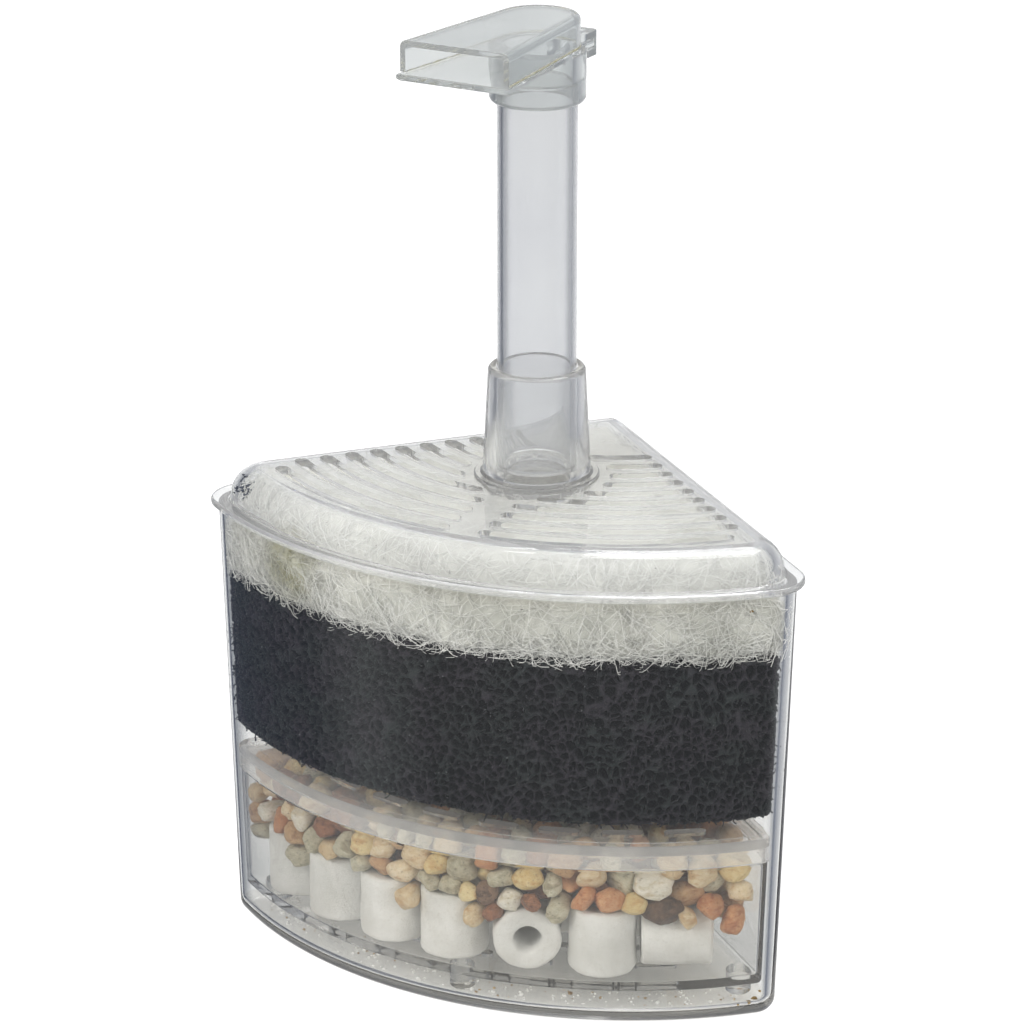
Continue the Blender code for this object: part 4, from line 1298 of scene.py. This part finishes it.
def studio_dark(look, ray):
    """(colour, share) of the dark parts that a ray in this direction meets."""
    spaces = {"vector_type": "VECTOR", "convert_from": "WORLD", "convert_to": "CAMERA"}
    turned_ray = look.node("VectorTransform", spaces, i0=ray).outputs[0]
    split = look.node("SeparateXYZ", i0=turned_ray).outputs
    angle = look.math("ARCTAN2", split["X"], split["Z"])
    around = look.value(angle, 0.0, 1.0, -math.pi, math.pi)
    stops = [(0.5 + degrees / 360, (*colour, share)) for degrees, colour, share in DARK_PARTS]
    found = look.ramp(around, *stops)
    return found["Color"], found["Alpha"]


def make_floor():
    look = new_look("studio_floor")
    colour = look.colours(look.noise(3.0, 4.0), (0.3, (0.30, 0.30, 0.30)), (0.7, (0.33, 0.33, 0.33)))
    grain = look.bump(look.noise(900.0), 0.05, 0.05 * MM)
    matt = look.node("BsdfDiffuse", Color=colour, Normal=grain).outputs[0]
    # The floor glows; its glow is turned down under the box, by the depth inside its plan, as a painted
    # shadow.
    corner = look.vector_math("SUBTRACT", look.place, (0.0, CORNER_Y, 0.0))
    far = look.node("VectorMath", {"operation": "LENGTH"}, i0=corner).outputs["Value"]
    depth = look.math("SUBTRACT", BOX_RADIUS, far)
    for across in (math.sqrt(0.5), -math.sqrt(0.5)):
        side = look.vector_math("DOT_PRODUCT", corner, (across, -math.sqrt(0.5), 0.0), "Value")
        depth = look.math("MINIMUM", depth, side)
    path = look.node("LightPath").outputs
    glow_with_painted_shadow = look.value(depth, 0.76, 0.34, -2 * MM, 16 * MM)
    glow_with_painted_shadow = look.math("ADD", glow_with_painted_shadow, look.math("MULTIPLY", path["Is Camera Ray"], 0.12))
    glow = look.node("Emission", Color=(1.0, 1.0, 1.0, 1.0), Strength=glow_with_painted_shadow).outputs[0]
    bright = look.node("AddShader", i0=matt, i1=glow).outputs[0]
    # Painted reflection: to rays other than camera and diffuse ones, the floor shows the studio's dark parts
    # in place of itself.
    ray = look.node("VectorMath", {"operation": "SCALE"}, i0=look.node("NewGeometry").outputs["Incoming"],
                    Scale=-1.0).outputs["Vector"]
    shade, share = studio_dark(look, ray)
    sharp = look.math("SUBTRACT", 1.0, path["Is Diffuse Ray"])
    sharp = look.math("SUBTRACT", sharp, path["Is Camera Ray"])
    dark = look.node("Emission", Color=shade, Strength=1.0).outputs[0]
    mixed = look.mix_shaders(look.math("MULTIPLY", share, sharp), bright, dark)
    plan = arc(0, 0, 4.0, 0, 2 * math.pi, 96)[:-1]
    points = np.column_stack([plan, np.full(len(plan), -0.02 * MM)])
    add("studio_floor", points, [tuple(range(len(plan)))], look.finish(mixed))


def make_world():
    """A pale room, brighter overhead; the camera sees it near white, and diffuse light finds it even."""
    world = bpy.data.worlds.new("studio")
    bpy.context.scene.world = world
    sky = Nodes(world, "OutputWorld", "Generated")
    up = sky.node("SeparateXYZ", i0=sky.place).outputs["Z"]
    overhead = [(at, (level, level, level * 1.01)) for at, level in ((0.64, 0.62), (0.82, 0.85), (0.97, 1.0))]
    tone = sky.colours(sky.value(up, 0.0, 1.0, -1.0, 1.0), (0.47, (0.80, 0.80, 0.80)),
                       (0.51, (0.55, 0.57, 0.60)), *overhead)
    shade, share = studio_dark(sky, sky.place)
    low = sky.value(up, 1.0, 0.0, 0.55, 0.85)
    shaped = sky.node("Background", Color=sky.mix(sky.math("MULTIPLY", share, low), tone, shade)).outputs[0]
    even = sky.node("Background", Color=(0.62, 0.62, 0.63, 1)).outputs[0]
    pale = sky.node("Background", Color=(0.97, 0.97, 0.97, 1)).outputs[0]
    path = sky.node("LightPath").outputs
    soft = sky.mix_shaders(path["Is Diffuse Ray"], shaped, even)
    sky.finish(sky.mix_shaders(path["Is Camera Ray"], soft, pale))


def soft_light(name, place, aim, size, power, colour=(1, 1, 1), seen=False):
    data = bpy.data.lights.new(name, "AREA")
    data.shape = "RECTANGLE"
    data.size, data.size_y = size
    data.energy = power
    data.color = colour
    lamp = bpy.data.objects.new(name, data)
    bpy.context.scene.collection.objects.link(lamp)
    lamp.location = place
    lamp.visible_glossy = seen
    lamp.visible_transmission = seen
    lamp.rotation_euler = (Vector(aim) - Vector(place)).to_track_quat("-Z", "Y").to_euler()


def around_box(azimuth, out, up):
    """A place this far from the tube's axis, with the azimuth in degrees to the right of the front."""
    turn = math.radians(azimuth)
    return Vector((out * math.sin(turn), -out * math.cos(turn), up))


def make_camera():
    """The photo's viewpoint: 750 mm off the tube's axis and 370 mm up, 24 degrees round to the right."""
    data = bpy.data.cameras.new("camera")
    data.lens = 138.25
    data.clip_start = 0.02
    data.clip_end = 50
    camera = bpy.data.objects.new("camera", data)
    bpy.context.scene.collection.objects.link(camera)
    camera.location = around_box(23.76, 750.4 * MM, 370.2 * MM)
    above = math.radians(20.317)
    back = around_box(24.142, math.cos(above), math.sin(above))
    camera.rotation_euler = (-back).to_track_quat("-Z", "Y").to_euler()
    bpy.context.scene.camera = camera


make_floor()
make_world()
soft_light("key", (-0.45, -0.95, 0.75), (0, 0, 0.08), (0.6, 0.6), 13.0)
soft_light("fill", (0.95, -0.55, 0.5), (0, 0, 0.08), (0.5, 0.7), 6.0, (0.97, 0.98, 1.0))
soft_light("top", (0.05, 0.45, 1.1), (0, 0, 0.1), (0.8, 0.5), 6.0, seen=True)
make_camera()

scene = bpy.context.scene
scene.view_settings.view_transform = "Standard"
scene.cycles.max_bounces = 24
scene.cycles.transmission_bounces = 24
scene.cycles.transparent_max_bounces = 48
scene.cycles.diffuse_bounces = 3
scene.cycles.glossy_bounces = 6
scene.cycles.caustics_reflective = False
scene.cycles.caustics_refractive = False
